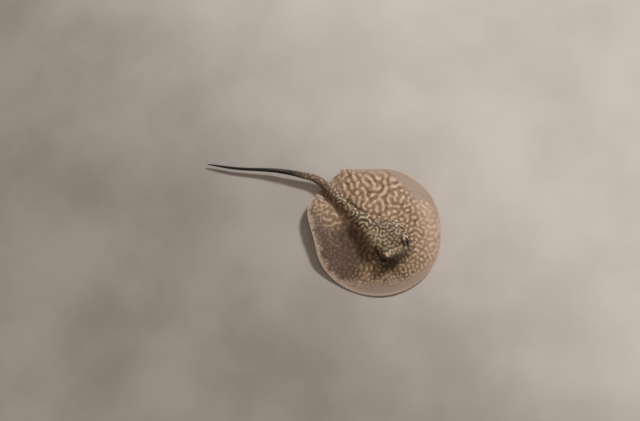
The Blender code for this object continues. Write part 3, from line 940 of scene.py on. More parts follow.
@dataclass(frozen=True)
class Colouring:
    """Where the back is patterned, plain or pale, and where light and shade are painted on it."""

    disc: Disc
    eyes: Sequence[EyeSeat]
    spiracles: Sequence[Spiracle]
    marks: Markings
    plain_band: Profile = Profile((
        (-159, 4), (-120, 5), (-85, 8), (-65, 17), (-40, 25), (-15, 23), (5, 17), (18, 10),
        (30, 5), (62, 5), (74, 18), (86, 35), (100, 35), (114, 24), (130, 12), (150, 7),
        (167, 4)))
    head: Patch = Patch((0.0, -44.0), (56.0, 60.0), fade=(0.72, 1.18))
    # Painted shadow that the head casts before it.
    brow_shadow: Patch = Patch((-22.0, -84.0), (36.0, 12.0), -8.0, (0.40, 1.40))
    # Painted shadow of the head and trunk on the right wing.
    flank: Patch = Patch((-76.0, 10.0), (50.0, 66.0), 10.0, (0.55, 1.25))
    # Painted shadows of the eyes' knobs, beside and before them.
    painted_eye_shadows: tuple[Patch, ...] = (Patch((27.0, -72.0), (4.5, 7.5), -20.0, (0.7, 1.3)),
                                  Patch((-40.0, -66.0), (4.5, 10.5), 25.0, (0.7, 1.3)),
                                  Patch((-38.0, -46.0), (3.2, 15.0), -13.0, (0.7, 1.3)))
    knob_radii: tuple[float, float] = (7.0, 7.5)
    # How much painted light the eyes' knobs get.
    knob_painted_light: float = 1.5
    # How much of the painted brow shadow also goes into the painted deep shade.
    brow_shadow_share: float = 0.45
    strip_painted_light: float = 0.8
    # Shares of painted shade on the front right and along the front margin.
    front_painted_shade: float = 0.40
    margin_painted_shade: float = 0.42

    def at(self, x: np.ndarray, y: np.ndarray) -> dict[str, np.ndarray]:
        """Give the values that the finish reads.

        Args:
            x, y: Points of the back.

        Returns:
            One array for each value, by name.
        """
        disc = self.disc
        bearing, _, hind, inset = disc.place(x, y)
        band = self.plain_band.at(np.where(bearing > disc.left_corner, bearing - 360.0, bearing))
        band = band + 6.0 * Waviness(16.0, 6).at(x, y) + 4.0 * Waviness(5.0, 7).at(x, y)
        edge = 1.0 - ramp(0.85, 1.0, hind)
        inside_band = 1.0 - edge * (1.0 - ramp(band - 4.0, band + 10.0, inset))
        from_spine = x - disc.spine.at(y)
        trunk = (1.0 - ramp(12.0, 24.0, np.abs(from_spine))) * ramp(-20.0, 20.0, y)
        # The spiracles' pits are darkened: painted shade.
        hole = np.min([hole.patch(disc).rho(x, y) for hole in self.spiracles], axis=0)
        # Painted light: the eyes' knobs are made paler, as their lit tops are.
        lit_knobs = [Patch((eye.centre[0] - eye.mound_inset * eye.side.value, eye.centre[1]),
                       self.knob_radii, fade=(0.6, 1.2)) for eye in self.eyes]
        # Painted shadows beside the eyes' knobs and before the head.
        hollow = np.maximum(largest(self.painted_eye_shadows, x, y), self.brow_shadow_share * self.brow_shadow.share(x, y))
        return {"mark": self.marks.read(x, y) + self.knob_painted_light * largest(lit_knobs, x, y),
                "plain": edge * (1.0 - ramp(band - 13.0, band + 12.0, inset)),
                "pallor": self.pallor(x, y), "dusk": self.dusk(x, y, inside_band),
                "head": np.maximum(self.head.share(from_spine, y), trunk),
                "rim": edge * (1.0 - ramp(0.8, 2.4, inset)), "pit": 1.0 - ramp(0.4, 1.0, hole),
                "socket": hollow, "crease": self.crease(x, y), "ridge": 0.8 * trunk,
                "tail": trunk * ramp(72.0, 172.0, y)}

    def crease(self, x: np.ndarray, y: np.ndarray) -> np.ndarray:
        """Give the painted shade in the furrows beside the trunk, of which the right one fades."""
        _, reach, _, _ = self.disc.place(x, y)
        crease = bell(self.disc.across(x, y) - 1.08, 0.22) * ramp(0.0, 45.0, y)
        fading = ramp(2.0, -8.0, x - self.disc.spine.at(y)) * ramp(35.0, 60.0, y)
        return crease * (1.0 - ramp(0.8, 1.0, reach)) * (1.0 - 0.8 * fading)

    def pallor(self, x: np.ndarray, y: np.ndarray) -> np.ndarray:
        """Give how pale the front left is, and the painted light that lifts the trunk's shadow on
        the strip beside its right side.
        """
        bearing, reach, _, _ = self.disc.place(x, y)
        # Painted light: the strip beside the trunk's right side is lightened against the trunk's
        # shadow.
        strip = bell(self.disc.across(x, y) - 1.35, 0.55)
        strip = strip * ramp(-2.0, -8.0, x - self.disc.spine.at(y)) * ramp(28.0, 50.0, y)
        strip = self.strip_painted_light * strip * (1.0 - ramp(120.0, 150.0, y))
        return np.maximum(ramp(0.60, 0.85, reach) * bell(bearing - 62.0, 45.0), strip)

    def dusk(self, x: np.ndarray, y: np.ndarray, patterned: np.ndarray) -> np.ndarray:
        """Give how much shade is painted before the head, on the right and on the front right.

        Args:
            x, y: The points.
            patterned: How far each lies inside the plain band along the margin.

        Returns:
            The shares of painted shade.
        """
        bearing, reach, _, inset = self.disc.place(x, y)
        # Painted shade: the head's shadow before it, the trunk's shadow on the right wing, and
        # shade towards the right, the front right and the front margin.
        outer = ramp(-40.0, -105.0, x) * ramp(-100.0, -30.0, y)
        front = self.front_painted_shade * bell(bearing + 35.0, 40.0) * ramp(0.40, 0.62, reach)
        margin = self.margin_painted_shade * bell(bearing + 42.0, 36.0) * ramp(0.60, 0.80, reach)
        return np.max([self.brow_shadow.share(x, y), self.flank.share(x, y),
                       np.maximum(outer, front) * patterned, margin * ramp(2.0, 9.0, inset)],
                      axis=0)


@dataclass
class Skin:
    """The one skin over head, trunk, fins and tail."""

    disc: Disc
    tail: Tail
    underside: Underside
    eyes: Sequence[EyeSeat]
    spiracles: Sequence[Spiracle]
    marks: Markings
    gills: tuple[Patch, ...] = (Patch((36.0, -14.0), (22.0, 26.0)),
                                Patch((-36.0, -14.0), (22.0, 26.0)))
    gill_swell: float = 1.3
    gill_spread: float = 0.8
    between_eyes: Patch = Patch((0.0, -68.0), (15.0, 20.0))
    between_dip: float = 3.2
    ray_turns: float = 88.0
    ray_height: float = 0.05
    scale: float = 150.0
    rim_insets: tuple[float, ...] = (0.0, 0.3, 0.7, 1.2, 1.9, 2.9)
    top_spans: tuple[tuple[float, float, float, int], ...] = (
        (0.97, 0.5, 1.42, 1), (0.5, 0.25, 1.4, 2), (0.25, 0.12, 1.4, 4), (0.12, 0.03, 1.4, 8))
    belly_spans: tuple[tuple[float, float, float, int], ...] = (
        (0.985, 0.62, 3.2, 2), (0.62, 0.34, 2.2, 2), (0.34, 0.1, 3.2, 4), (0.1, 0.04, 3.2, 8))
    tip_gap: float = 0.8
    shell: Shell = field(default_factory=Shell)
    nodes: tuple[str, ...] = ("head", "trunk", "pectoral_fin_left", "pectoral_fin_right",
                              "pelvic_fin_left", "pelvic_fin_right", "tail_base",
                              "tail_middle", "tail_whip")

    def top(self, x: np.ndarray, y: np.ndarray) -> np.ndarray:
        """Give the finished height of the back, with its knobs, holes and folds.

        Args:
            x, y: The points.

        Returns:
            The heights.
        """
        disc = self.disc
        bearing, reach, _, inset = disc.place(x, y)
        skin = disc.back_height(x, y)
        from_spine = x - disc.spine.at(y)
        for gill in self.gills:
            skin = skin + self.gill_swell * bell(gill.rho(from_spine, y), self.gill_spread)
        dip = bell(self.between_eyes.rho(from_spine, y), self.gill_spread)
        skin = skin - self.between_dip * dip
        lumps = 0.45 * Waviness(21.0, 3).at(x, y) + 0.18 * Waviness(8.0, 4).at(x, y)
        skin = skin + (1.0 - ramp(0.80, 0.97, reach)) * lumps
        rays = np.sin(np.radians(bearing * self.ray_turns) + 2.5 * Waviness(30.0, 5).at(x, y))
        skin = skin + self.ray_height * rays * ramp(0.45, 0.75, reach) * ramp(0.5, 5.0, inset)
        for eye in self.eyes:
            skin = eye.cover(x, y, skin)
        for spiracle in self.spiracles:
            skin = spiracle.sink(x, y, skin, disc)
        return skin

    def build(self, finish: bpy.types.Material) -> bpy.types.Object:
        """Make the skin and hide the solids that it stands for."""
        rim, hind = self.disc.outline()
        top_start = self.add_top(rim)
        chord = np.flatnonzero(hind >= 1.0)
        belly_start = self.add_belly(rim, chord, top_start)
        self.add_tail(chord, top_start, belly_start)
        for side in Side:
            self.add_pelvic(PelvicFin(self.disc, side))
        skin = self.shell.mesh("skin", finish)
        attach(skin, BODY)
        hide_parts(*self.nodes)
        return skin

    def rows(self, close: int,
             spans: Sequence[tuple[float, float, float, int]]) -> list[tuple[float, int]]:
        """List one side's rings, from the rim inwards.

        Args:
            close: How many close rings lie along the rim.
            spans: Where the evenly stepped rings start and end, their step and their stride.

        Returns:
            Each ring's reach and its stride along the rim.
        """
        rows = [(1.0 - inset / self.scale, 1) for inset in self.rim_insets[:close]]
        for start, end, step, stride in spans:
            count = max(round((start - end) * self.scale / step), 1)
            rows += [(start - (start - end) * k / count, stride) for k in range(count)]
        return rows

    def add_top(self, rim: np.ndarray) -> int:
        """Add the back; give its first point."""
        rows = self.rows(len(self.rim_insets), self.top_spans)
        zones = [Zone((self.disc.root_x, 78.0), (21.0, 42.0))]
        zones += [Zone(eye.centre[:2], (15.0, 16.0), 2) for eye in self.eyes]
        zones += [Zone(hole.patch(self.disc).centre, (9.0, 11.0)) for hole in self.spiracles]
        plan, faces = Sheet(rim, rows, zones, True).build()
        x, y = plan.T
        look = Colouring(self.disc, self.eyes, self.spiracles, self.marks).at(x, y)
        start = self.shell.add(np.column_stack([plan, self.top(x, y)]), **look)
        self.shell.faces += faces
        return start

    def add_belly(self, rim: np.ndarray, chord: np.ndarray, top_start: int) -> int:
        """Add the underside; give its first point.

        Args:
            rim: The outline's points.
            chord: The numbers of those at the tail's root, its two notches among them.
            top_start: The back's first point, which is the rim's first point too.

        Returns:
            The underside's first point.
        """
        rows = self.rows(4, self.belly_spans)
        zones = [Zone((0.5, -95.0), (24.0, 17.0)), Zone((33.0, -50.0), (15.0, 36.0)),
                 Zone((-33.0, -50.0), (15.0, 36.0)), Zone((-16.5, 97.0), (6.0, 12.0))]
        plan, faces = Sheet(rim, rows, zones, False).build()
        x, y = plan.T
        _, _, _, inset = self.disc.place(x, y)
        cut = self.underside.depth(x, y)
        # The grooves are darkened by their depth: painted shade.
        start = self.shell.add(
            np.column_stack([plan, self.disc.belly_height(x, y) + cut]), pit=0.6 * cut,
            belly=1.0 - ramp(0.0, 2.0, 2.0 - inset), rim=1.0 - ramp(0.8, 6.0, inset))
        shared = set(range(len(rim))) - set(chord[1:-1].tolist())
        rename = [top_start + k if k in shared else start + k for k in range(len(plan))]
        self.shell.faces += [tuple(rename[k] for k in face) for face in faces]
        return start

    def add_tail(self, chord: np.ndarray, top_start: int, belly_start: int) -> None:
        """Carry the tail on from the loop at its root to its tip.

        Args:
            chord: The numbers of the outline's points at the root.
            top_start, belly_start: The first points of the back and of the underside.
        """
        tail, sides = self.tail, 2 * self.disc.chord_points
        loop = [top_start + int(k) for k in chord]
        loop += [belly_start + int(k) for k in chord[-2:0:-1]]
        placed = np.vstack(self.shell.points)[loop]
        angles = np.pi - 2.0 * np.pi * np.arange(sides) / sides
        reach = tail.length - self.tip_gap
        count = round(reach / tail.ring_step)
        for k in range(1, count + 1):
            run = reach * k / count
            ring = np.array([tuple(tail.point(run, angle)) for angle in angles])
            shift = np.array(tuple(tail.middle(run) - tail.middle(0.0)))
            ring = blend(placed + shift, ring, float(ramp(0.0, tail.blend_run, run)))
            start = self.shell.add(ring, **self.tail_traits(run, angles, placed))
            new = list(range(start, start + sides))
            self.shell.faces += [(loop[n], loop[(n + 1) % sides], new[(n + 1) % sides], new[n])
                                 for n in range(sides)]
            loop = new
        tip = self.shell.add(np.array([tuple(tail.middle(tail.length))]), whip=1.0, mark=-1.0)
        self.shell.faces += fan_faces(loop[0], tip, sides)

    def tail_traits(self, run: float, angles: np.ndarray,
                    placed: np.ndarray) -> dict[str, np.ndarray]:
        """Give the values that the finish reads, for one ring of the tail.

        Args:
            run: How far along the tail the ring is.
            angles: Where its points lie round the tail.
            placed: The points of the loop at the root.

        Returns:
            The values by name.
        """
        girth = float(self.tail.section.at(run, 1) + self.tail.section.at(run, 2)) / 2.0
        around = blend(placed[:, 0] - self.disc.root_x, (np.pi / 2 - angles) * girth,
                       float(ramp(0.0, 25.0, run)))
        over = np.sin(angles)
        x, y = self.disc.root_x + around, np.full(len(angles), self.disc.root_y + run)
        ragged = run + 9.0 * Waviness(9.0, 8).at(around, y)
        # A pale band of painted light along the whip's lit left side.
        flank = 0.35 * bell(angles - 0.35, 0.3) * ramp(85.0, 125.0, np.asarray(run))
        return {"mark": self.marks.read(x, y), "head": np.ones(len(angles)),
                "tail": np.full(len(angles), float(ramp(-40.0, 60.0, run))),
                "whip": ramp(88.0, 128.0, ragged), "flank": flank,
                "belly": (1.0 - ramp(-0.9, -0.35, over)) * (1.0 - 0.75 * ramp(60.0, 140.0, run))}

    def add_pelvic(self, fin: PelvicFin) -> None:
        """Add one pelvic fin's closed shell."""
        centre, rings = fin.rings()
        lift = float(fin.base(centre[None])[0])
        crown = float(fin.top(centre[None])[0])
        hub = self.shell.add(np.array([[*centre, crown]]), mark=-0.5, plain=0.2)
        starts = []
        for number, ring in enumerate(rings):
            under = 1.0 if number >= len(fin.reaches) else 0.0
            mark = self.marks.read(ring[:, 0], ring[:, 1]) - 0.1
            starts.append(self.shell.add(ring, mark=mark, belly=under, plain=0.3))
        sides = fin.sides
        base = self.shell.add(np.array([[*centre, lift]]), belly=1.0)
        faces = fan_faces(starts[0], hub, sides)
        for outer, inner in zip(starts, starts[1:]):
            faces += ring_faces(inner, outer, sides)
        faces += fan_faces(starts[-1], base, sides, True)
        ring = rings[0]
        spin = np.cross(ring[0, :2] - centre, ring[1, :2] - centre)
        self.shell.faces += faces if spin > 0.0 else [face[::-1] for face in faces]


# ---------------------------------------------------------------------- finishes

class Graph:
    """Adds and links the nodes of one procedural material."""

    def __init__(self, name: str) -> None:
        """Start a material with its Principled shader."""
        self.material = bpy.data.materials.new(name)
        self.material.use_nodes = True
        self.tree = self.material.node_tree
        self.shader = self.tree.nodes["Principled BSDF"]
        self.coordinates = self.tree.nodes.new("ShaderNodeTexCoord").outputs["Object"]

    def join(self, source: object, target: bpy.types.NodeSocket) -> None:
        """Link a socket to another, or set a plain value on it."""
        if isinstance(source, bpy.types.NodeSocket):
            self.tree.links.new(source, target)
        elif isinstance(source, tuple):
            target.default_value = (*source, 1.0)
        else:
            target.default_value = source

    def trait(self, name: str) -> bpy.types.NodeSocket:
        """Read one of the mesh's named values."""
        node = self.tree.nodes.new("ShaderNodeAttribute")
        node.attribute_name = name
        return node.outputs["Fac"]

    def across(self) -> bpy.types.NodeSocket:
        """Give the X of the object's coordinates."""
        node = self.tree.nodes.new("ShaderNodeSeparateXYZ")
        self.tree.links.new(self.coordinates, node.inputs["Vector"])
        return node.outputs["X"]

    def noise(self, size: float, detail: float = 3.0, distortion: float = 0.0,
              stretch: tuple[float, float, float] = (1.0, 1.0, 1.0)) -> bpy.types.NodeSocket:
        """Give a cloudy pattern whose lumps are about a size in millimetres."""
        mapping = self.tree.nodes.new("ShaderNodeMapping")
        mapping.inputs["Scale"].default_value = stretch
        self.tree.links.new(self.coordinates, mapping.inputs["Vector"])
        node = self.tree.nodes.new("ShaderNodeTexNoise")
        node.inputs["Scale"].default_value = 1.0 / (size * MM)
        node.inputs["Detail"].default_value = detail
        node.inputs["Distortion"].default_value = distortion
        self.tree.links.new(mapping.outputs["Vector"], node.inputs["Vector"])
        return node.outputs["Fac"]

    def pebbles(self, size: float) -> bpy.types.NodeSocket:
        """Give a pattern of small round pebbles about a size in millimetres."""
        node = self.tree.nodes.new("ShaderNodeTexVoronoi")
        node.inputs["Scale"].default_value = 1.0 / (size * MM)
        self.tree.links.new(self.coordinates, node.inputs["Vector"])
        return node.outputs["Distance"]

    def remap(self, value: object, low: float, high: float, to_low: float = 0.0,
              to_high: float = 1.0) -> bpy.types.NodeSocket:
        """Map a value's range onto another with smooth ends."""
        node = self.tree.nodes.new("ShaderNodeMapRange")
        node.interpolation_type = "SMOOTHSTEP"
        for label, number in (("From Min", low), ("From Max", high), ("To Min", to_low),
                              ("To Max", to_high)):
            node.inputs[label].default_value = number
        self.join(value, node.inputs["Value"])
        return node.outputs["Result"]

    def maths(self, kind: str, one: object, other: object) -> bpy.types.NodeSocket:
        """Combine two values."""
        node = self.tree.nodes.new("ShaderNodeMath")
        node.operation = kind
        self.join(one, node.inputs[0])
        self.join(other, node.inputs[1])
        return node.outputs["Value"]

    def mix(self, share: object, one: object, other: object) -> bpy.types.NodeSocket:
        """Mix two colours."""
        node = self.tree.nodes.new("ShaderNodeMix")
        node.data_type = "RGBA"
        self.join(share, node.inputs[0])
        self.join(one, node.inputs[6])
        self.join(other, node.inputs[7])
        return node.outputs[2]

    def bump(self, height: bpy.types.NodeSocket, depth: float, strength: float) -> None:
        """Roughen the surface by a height of some millimetres."""
        node = self.tree.nodes.new("ShaderNodeBump")
        node.inputs["Strength"].default_value = strength
        node.inputs["Distance"].default_value = depth * MM
        self.tree.links.new(height, node.inputs["Height"])
        self.tree.links.new(node.outputs["Normal"], self.shader.inputs["Normal"])

    def finish(self, colour: object, roughness: object, **constants: float) -> bpy.types.Material:
        """Connect the colour and the roughness, set the constants, and give the material."""
        self.join(colour, self.shader.inputs["Base Color"])
        self.join(roughness, self.shader.inputs["Roughness"])
        for label, number in constants.items():
            self.shader.inputs[label.replace("_", " ")].default_value = number
        return self.material


@dataclass(frozen=True)
class SkinFinish:
    """Moist patterned skin, with painted light and shade laid over its colours."""

    wing_dark: Colour = (0.140, 0.078, 0.033)
    wing_pale: Colour = (0.640, 0.445, 0.285)
    head_dark: Colour = (0.030, 0.021, 0.010)
    head_pale: Colour = (0.520, 0.396, 0.242)
    # The colour that the front left and the painted-light strip are made paler towards.
    pallor: Colour = (0.780, 0.570, 0.420)
    # The colour of the paler cores of the pale marks, with painted glints.
    pale_core_and_glint: Colour = (0.780, 0.620, 0.460)
    margin: Colour = (0.430, 0.318, 0.245)
    rim: Colour = (0.520, 0.400, 0.310)
    tail_dark: Colour = (0.145, 0.095, 0.062)
    tail_pale: Colour = (0.240, 0.162, 0.110)
    fleck: Colour = (0.035, 0.023, 0.015)
    whip: Colour = (0.020, 0.016, 0.011)
    # The colour of the painted light on the whip's lit left side.
    flank: Colour = (0.560, 0.450, 0.270)
    belly: Colour = (0.700, 0.640, 0.560)
    # The colour of the painted shade in the pits and grooves.
    hollow: Colour = (0.120, 0.070, 0.052)
    # The colour of the painted deep shade beside the eyes and in the creases.
    socket: Colour = (0.022, 0.015, 0.009)
    # The colour of the painted shade.
    dusk: Colour = (0.074, 0.044, 0.030)
    blotch: Colour = (0.300, 0.190, 0.120)
    speck: Colour = (0.090, 0.060, 0.040)

    def make(self) -> bpy.types.Material:
        """Make the material, by laying its colours over one another in turn."""
        g = Graph("patterned skin")
        head, tail = g.trait("head"), g.trait("tail")
        mark = g.maths("ADD", g.trait("mark"), g.remap(g.noise(2.2, 2.0), 0.2, 0.8, -0.22, 0.22))
        dark = g.mix(tail, g.mix(head, self.wing_dark, self.head_dark), self.tail_dark)
        light = g.mix(tail, g.mix(head, self.wing_pale, self.head_pale), self.tail_pale)
        uneven = g.maths("MULTIPLY", g.remap(g.noise(11.0, 3.0), 0.3, 0.7, 0.0, 0.45),
                         g.remap(head, 0.0, 1.0, 1.0, 0.35))
        colour = g.mix(g.remap(mark, -0.85, 1.25), g.mix(uneven, dark, light), light)
        # Paler cores of the pale marks, with painted glints.
        pale_core_and_glint = g.maths("MULTIPLY", g.remap(mark, 0.85, 1.7), g.remap(g.noise(13.0), 0.35, 0.6))
        flecks = g.maths("MULTIPLY", g.remap(g.noise(3.2, 2.0), 0.50, 0.62),
                         g.maths("MAXIMUM", tail, g.trait("ridge")))
        # Painted light among these layers: the lightened strip beside the trunk, the glints on the
        # pale cores and the band on the whip's lit side; painted shade: the shade before the head
        # and on the right, the shadows beside the eyes, the creases and the pits.
        layers = ((g.remap(g.noise(38.0, 3.0), 0.3, 0.7), 0.22, self.blotch),
                  (g.trait("pallor"), 0.50, self.pallor), (pale_core_and_glint, 0.55, self.pale_core_and_glint),
                  (flecks, 0.75, self.fleck), (g.trait("plain"), 1.0, self.margin),
                  (g.remap(g.noise(1.3, 2.0), 0.35, 0.7), 0.16, self.speck),
                  (g.trait("rim"), 1.0, self.rim), (g.trait("whip"), 1.0, self.whip),
                  (g.trait("flank"), 1.0, self.flank), (g.trait("belly"), 1.0, self.belly),
                  (g.trait("dusk"), 0.83, self.dusk), (g.trait("socket"), 0.90, self.socket),
                  (g.trait("crease"), 0.55, self.socket), (g.trait("pit"), 1.0, self.hollow))
        for share, most, layer in layers:
            colour = g.mix(g.maths("MULTIPLY", share, most), colour, layer)
        height = g.maths("ADD", g.noise(1.0, 4.0), g.maths("MULTIPLY", g.pebbles(0.8), 0.5))
        g.bump(height, 0.18, 0.5)
        rough = g.remap(g.noise(6.0, 3.0), 0.3, 0.7, 0.60, 0.74)
        return g.finish(colour, rough, Specular_IOR_Level=0.30)


@dataclass(frozen=True)
class EyeFinish:
    """A wet eyeball: dark pupil under its flap, bronze iris, brown white."""

    pupil: Colour = (0.004, 0.004, 0.005)
    iris: Colour = (0.230, 0.150, 0.055)
    iris_dark: Colour = (0.050, 0.030, 0.014)
    white: Colour = (0.060, 0.045, 0.032)

    def make(self) -> bpy.types.Material:
        """Make the material."""
        g = Graph("wet eye")
        streaks = g.remap(g.noise(0.9, 4.0, 0.6), 0.35, 0.68)
        iris = g.mix(streaks, self.iris_dark, self.iris)
        colour = g.mix(g.trait("iris"), self.white, iris)
        colour = g.mix(g.trait("pupil"), colour, self.pupil)
        return g.finish(colour, g.remap(g.noise(2.0), 0.3, 0.7, 0.06, 0.14),
                        Specular_IOR_Level=0.6)


@dataclass(frozen=True)
class HornFinish:
    """Streaked horn, for the sting's sheath, the thorns and the denticles."""

    name: str
    pale: Colour
    dark: Colour

    def make(self) -> bpy.types.Material:
        """Make the material."""
        g = Graph(self.name)
        streaks = g.noise(2.0, 4.0, 0.4, (1.0, 0.25, 1.0))
        colour = g.mix(g.remap(streaks, 0.3, 0.7), self.dark, self.pale)
        g.bump(g.noise(0.6, 3.0), 0.08, 0.4)
        return g.finish(colour, g.remap(g.noise(1.5), 0.3, 0.7, 0.36, 0.55))


@dataclass(frozen=True)
class FloorFinish:
    """A pale studio floor, darker towards -X by a painted fall-off of the key light."""

    pale: Colour = (0.740, 0.690, 0.640)
    painted_falloff_dark: Colour = (0.290, 0.260, 0.225)

    def make(self) -> bpy.types.Material:
        """Make the material."""
        g = Graph("pale floor")
        cloud = g.remap(g.noise(240.0, 4.0), 0.3, 0.7)
        # Painted fall-off of the key light: the floor darkens towards -X.
        along = g.remap(g.across(), -0.45, 0.45)
        share = g.maths("ADD", g.maths("MULTIPLY", along, 0.8), g.maths("MULTIPLY", cloud, 0.2))
        colour = g.mix(share, self.painted_falloff_dark, self.pale)
        return g.finish(colour, g.remap(g.noise(90.0), 0.3, 0.7, 0.82, 0.92),
                        Specular_IOR_Level=0.2)


# ---------------------------------------------------------------------- eyes, sting, thorns

@dataclass(frozen=True)
class Eyeball:
    """One eyeball with its clear bulge turned along the gaze."""

    seat: EyeSeat
    around: int = 64
    along: int = 40
    bulge: float = 0.035
    bulge_spread: float = 38.0
    pupil: float = 34.0
    pupil_squash: float = 0.82
    flap_size: float = 0.72
    flap_rise: float = 0.62
    soft_edge: tuple[float, float] = (0.92, 1.06)
    iris: float = 58.0
    iris_fade: float = 4.0

    def build(self, finish: bpy.types.Material) -> bpy.types.Object:
        """Make the eyeball, which stands for its solid."""
        gaze = Vector(self.seat.gaze)
        level = gaze.cross(Vector((0.0, 0.0, 1.0))).normalized()
        up = level.cross(gaze)
        centre, ahead = np.array(self.seat.centre), np.array(gaze)
        shell, starts = Shell(), []
        spin = 2.0 * np.pi * np.arange(self.around) / self.around
        for k in range(1, self.along):
            angle = math.pi * k / self.along
            swell = 1.0 + self.bulge * float(bell(math.degrees(angle), self.bulge_spread))
            flat, high = math.sin(angle) * np.cos(spin), math.sin(angle) * np.sin(spin)
            rows = [centre + self.seat.radius * swell
                    * (ahead * math.cos(angle) + np.array(level) * a + np.array(up) * b)
                    for a, b in zip(flat, high)]
            starts.append(shell.add(np.array(rows), **self.traits(angle, flat, high)))
        front, rear = [
            shell.add(np.array([centre + reach * self.seat.radius * ahead]), pupil=seen, iris=seen)
            for reach, seen in ((1.0 + self.bulge, 1.0), (-1.0, 0.0))]
        for outer, inner in zip(starts, starts[1:]):
            shell.faces += ring_faces(inner, outer, self.around)
        shell.faces += fan_faces(starts[0], front, self.around)
        shell.faces += fan_faces(starts[-1], rear, self.around, True)
        eye = shell.mesh("eyeball_" + self.seat.side.word, finish)
        outward(eye)
        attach(eye, BODY)
        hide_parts("eye_" + self.seat.side.word)
        return eye

    def traits(self, angle: float, flat: np.ndarray, high: np.ndarray) -> dict[str, np.ndarray]:
        """Give the pupil, with the flap that hangs into it from above, and the iris.

        Args:
            angle: How far the ring lies from the gaze, in radians.
            flat, high: Where its points lie across and up.

        Returns:
            The shares by name.
        """
        wide = math.sin(math.radians(self.pupil))
        hang = wide * self.flap_size
        ring = np.hypot(flat / wide, high / (wide * self.pupil_squash))
        flap = np.hypot(flat / hang, (high - wide * self.flap_rise) / hang)
        facing = 1.0 if angle < math.pi / 2 else 0.0
        pupil = (1.0 - ramp(*self.soft_edge, ring)) * ramp(*self.soft_edge, flap) * facing
        iris = 1.0 - ramp(self.iris - self.iris_fade, self.iris + self.iris_fade,
                          math.degrees(angle))
        return {"pupil": pupil, "iris": iris}


def outward(thing: bpy.types.Object) -> None:
    """Turn every face of a closed mesh outwards."""
    shell = bmesh.new()
    shell.from_mesh(thing.data)
    bmesh.ops.recalc_face_normals(shell, faces=shell.faces)
    shell.to_mesh(thing.data)
    shell.free()


@dataclass(frozen=True)
class Spikes:
    """A Geometry Nodes tree that stands a small leaning cone on every point of a carrier."""

    name: str
    radius: float
    height: float
    sides: int = 7
    seed: int = 5
    spread: float = 0.25

    def tree(self) -> bpy.types.NodeTree:
        """Build the tree, with its sizes as named inputs."""
        tree = bpy.data.node_groups.new(self.name, "GeometryNodeTree")
        face = tree.interface
        face.new_socket("Geometry", in_out="INPUT", socket_type="NodeSocketGeometry")
        for label, kind in (("Radius", "Float"), ("Height", "Float"), ("Spread", "Float"),
                            ("Seed", "Int"), ("Material", "Material")):
            face.new_socket(label, in_out="INPUT", socket_type="NodeSocket" + kind)
        face.new_socket("Geometry", in_out="OUTPUT", socket_type="NodeSocketGeometry")

        def node(kind: str, **links: object) -> bpy.types.Node:
            made = tree.nodes.new(kind)
            for label, source in links.items():
                target = made.inputs[label.replace("_", " ")]
                if isinstance(source, bpy.types.NodeSocket):
                    tree.links.new(source, target)
                else:
                    target.default_value = source
            return made

        given = node("NodeGroupInput").outputs
        cone = node("GeometryNodeMeshCone", Vertices=self.sides, Side_Segments=2,
                    Radius_Bottom=given["Radius"], Depth=given["Height"])
        soft = node("GeometryNodeSetShadeSmooth", Geometry=cone.outputs["Mesh"])
        aim = tree.nodes.new("GeometryNodeInputNamedAttribute")
        aim.data_type = "FLOAT_VECTOR"
        aim.inputs["Name"].default_value = "aim"
        lean = node("FunctionNodeAlignRotationToVector", Vector=aim.outputs["Attribute"])
        lean.axis = "Z"
        least = tree.nodes.new("ShaderNodeMath")
        least.operation = "SUBTRACT"
        least.inputs[0].default_value = 1.0
        tree.links.new(given["Spread"], least.inputs[1])
        size = tree.nodes.new("FunctionNodeRandomValue")
        size.data_type = "FLOAT"
        tree.links.new(least.outputs[0], size.inputs[2])
        size.inputs[3].default_value = 1.0
        tree.links.new(given["Seed"], size.inputs["Seed"])
        stood = node("GeometryNodeInstanceOnPoints", Points=given["Geometry"],
                     Instance=soft.outputs["Geometry"], Rotation=lean.outputs["Rotation"],
                     Scale=size.outputs[1])
        real = node("GeometryNodeRealizeInstances", Geometry=stood.outputs["Instances"])
        dressed = node("GeometryNodeSetMaterial", Geometry=real.outputs["Geometry"],
                       Material=given["Material"])
        node("NodeGroupOutput", Geometry=dressed.outputs["Geometry"])
        return tree

    def stand(self, points: np.ndarray, aims: np.ndarray,
              finish: bpy.types.Material) -> bpy.types.Object:
        """Stand the cones and give them as one plain mesh.

        Args:
            points: Where the cones stand, in millimetres.
            aims: Which way each points.
            finish: Their material.

        Returns:
            The object, at the origin.
        """
        carrier = bpy.data.meshes.new(self.name + "_carrier")
        carrier.from_pydata((points * MM).tolist(), [], [])
        carrier.attributes.new("aim", "FLOAT_VECTOR", "POINT").data.foreach_set(
            "vector", np.asarray(aims, dtype=float).ravel())
        thing = bpy.data.objects.new(self.name, carrier)
        bpy.context.scene.collection.objects.link(thing)
        modifier = thing.modifiers.new("spikes", "NODES")
        modifier.node_group = self.tree()
        values = {"Radius": self.radius * MM, "Height": self.height * MM, "Spread": self.spread,
                  "Seed": self.seed, "Material": finish}
        for item in modifier.node_group.interface.items_tree:
            if item.in_out == "INPUT" and item.name in values:
                modifier[item.identifier] = values[item.name]
        seen = thing.evaluated_get(bpy.context.evaluated_depsgraph_get())
        plain = bpy.data.meshes.new_from_object(seen)
        thing.modifiers.clear()
        thing.data = plain
        bpy.data.meshes.remove(carrier)
        return thing


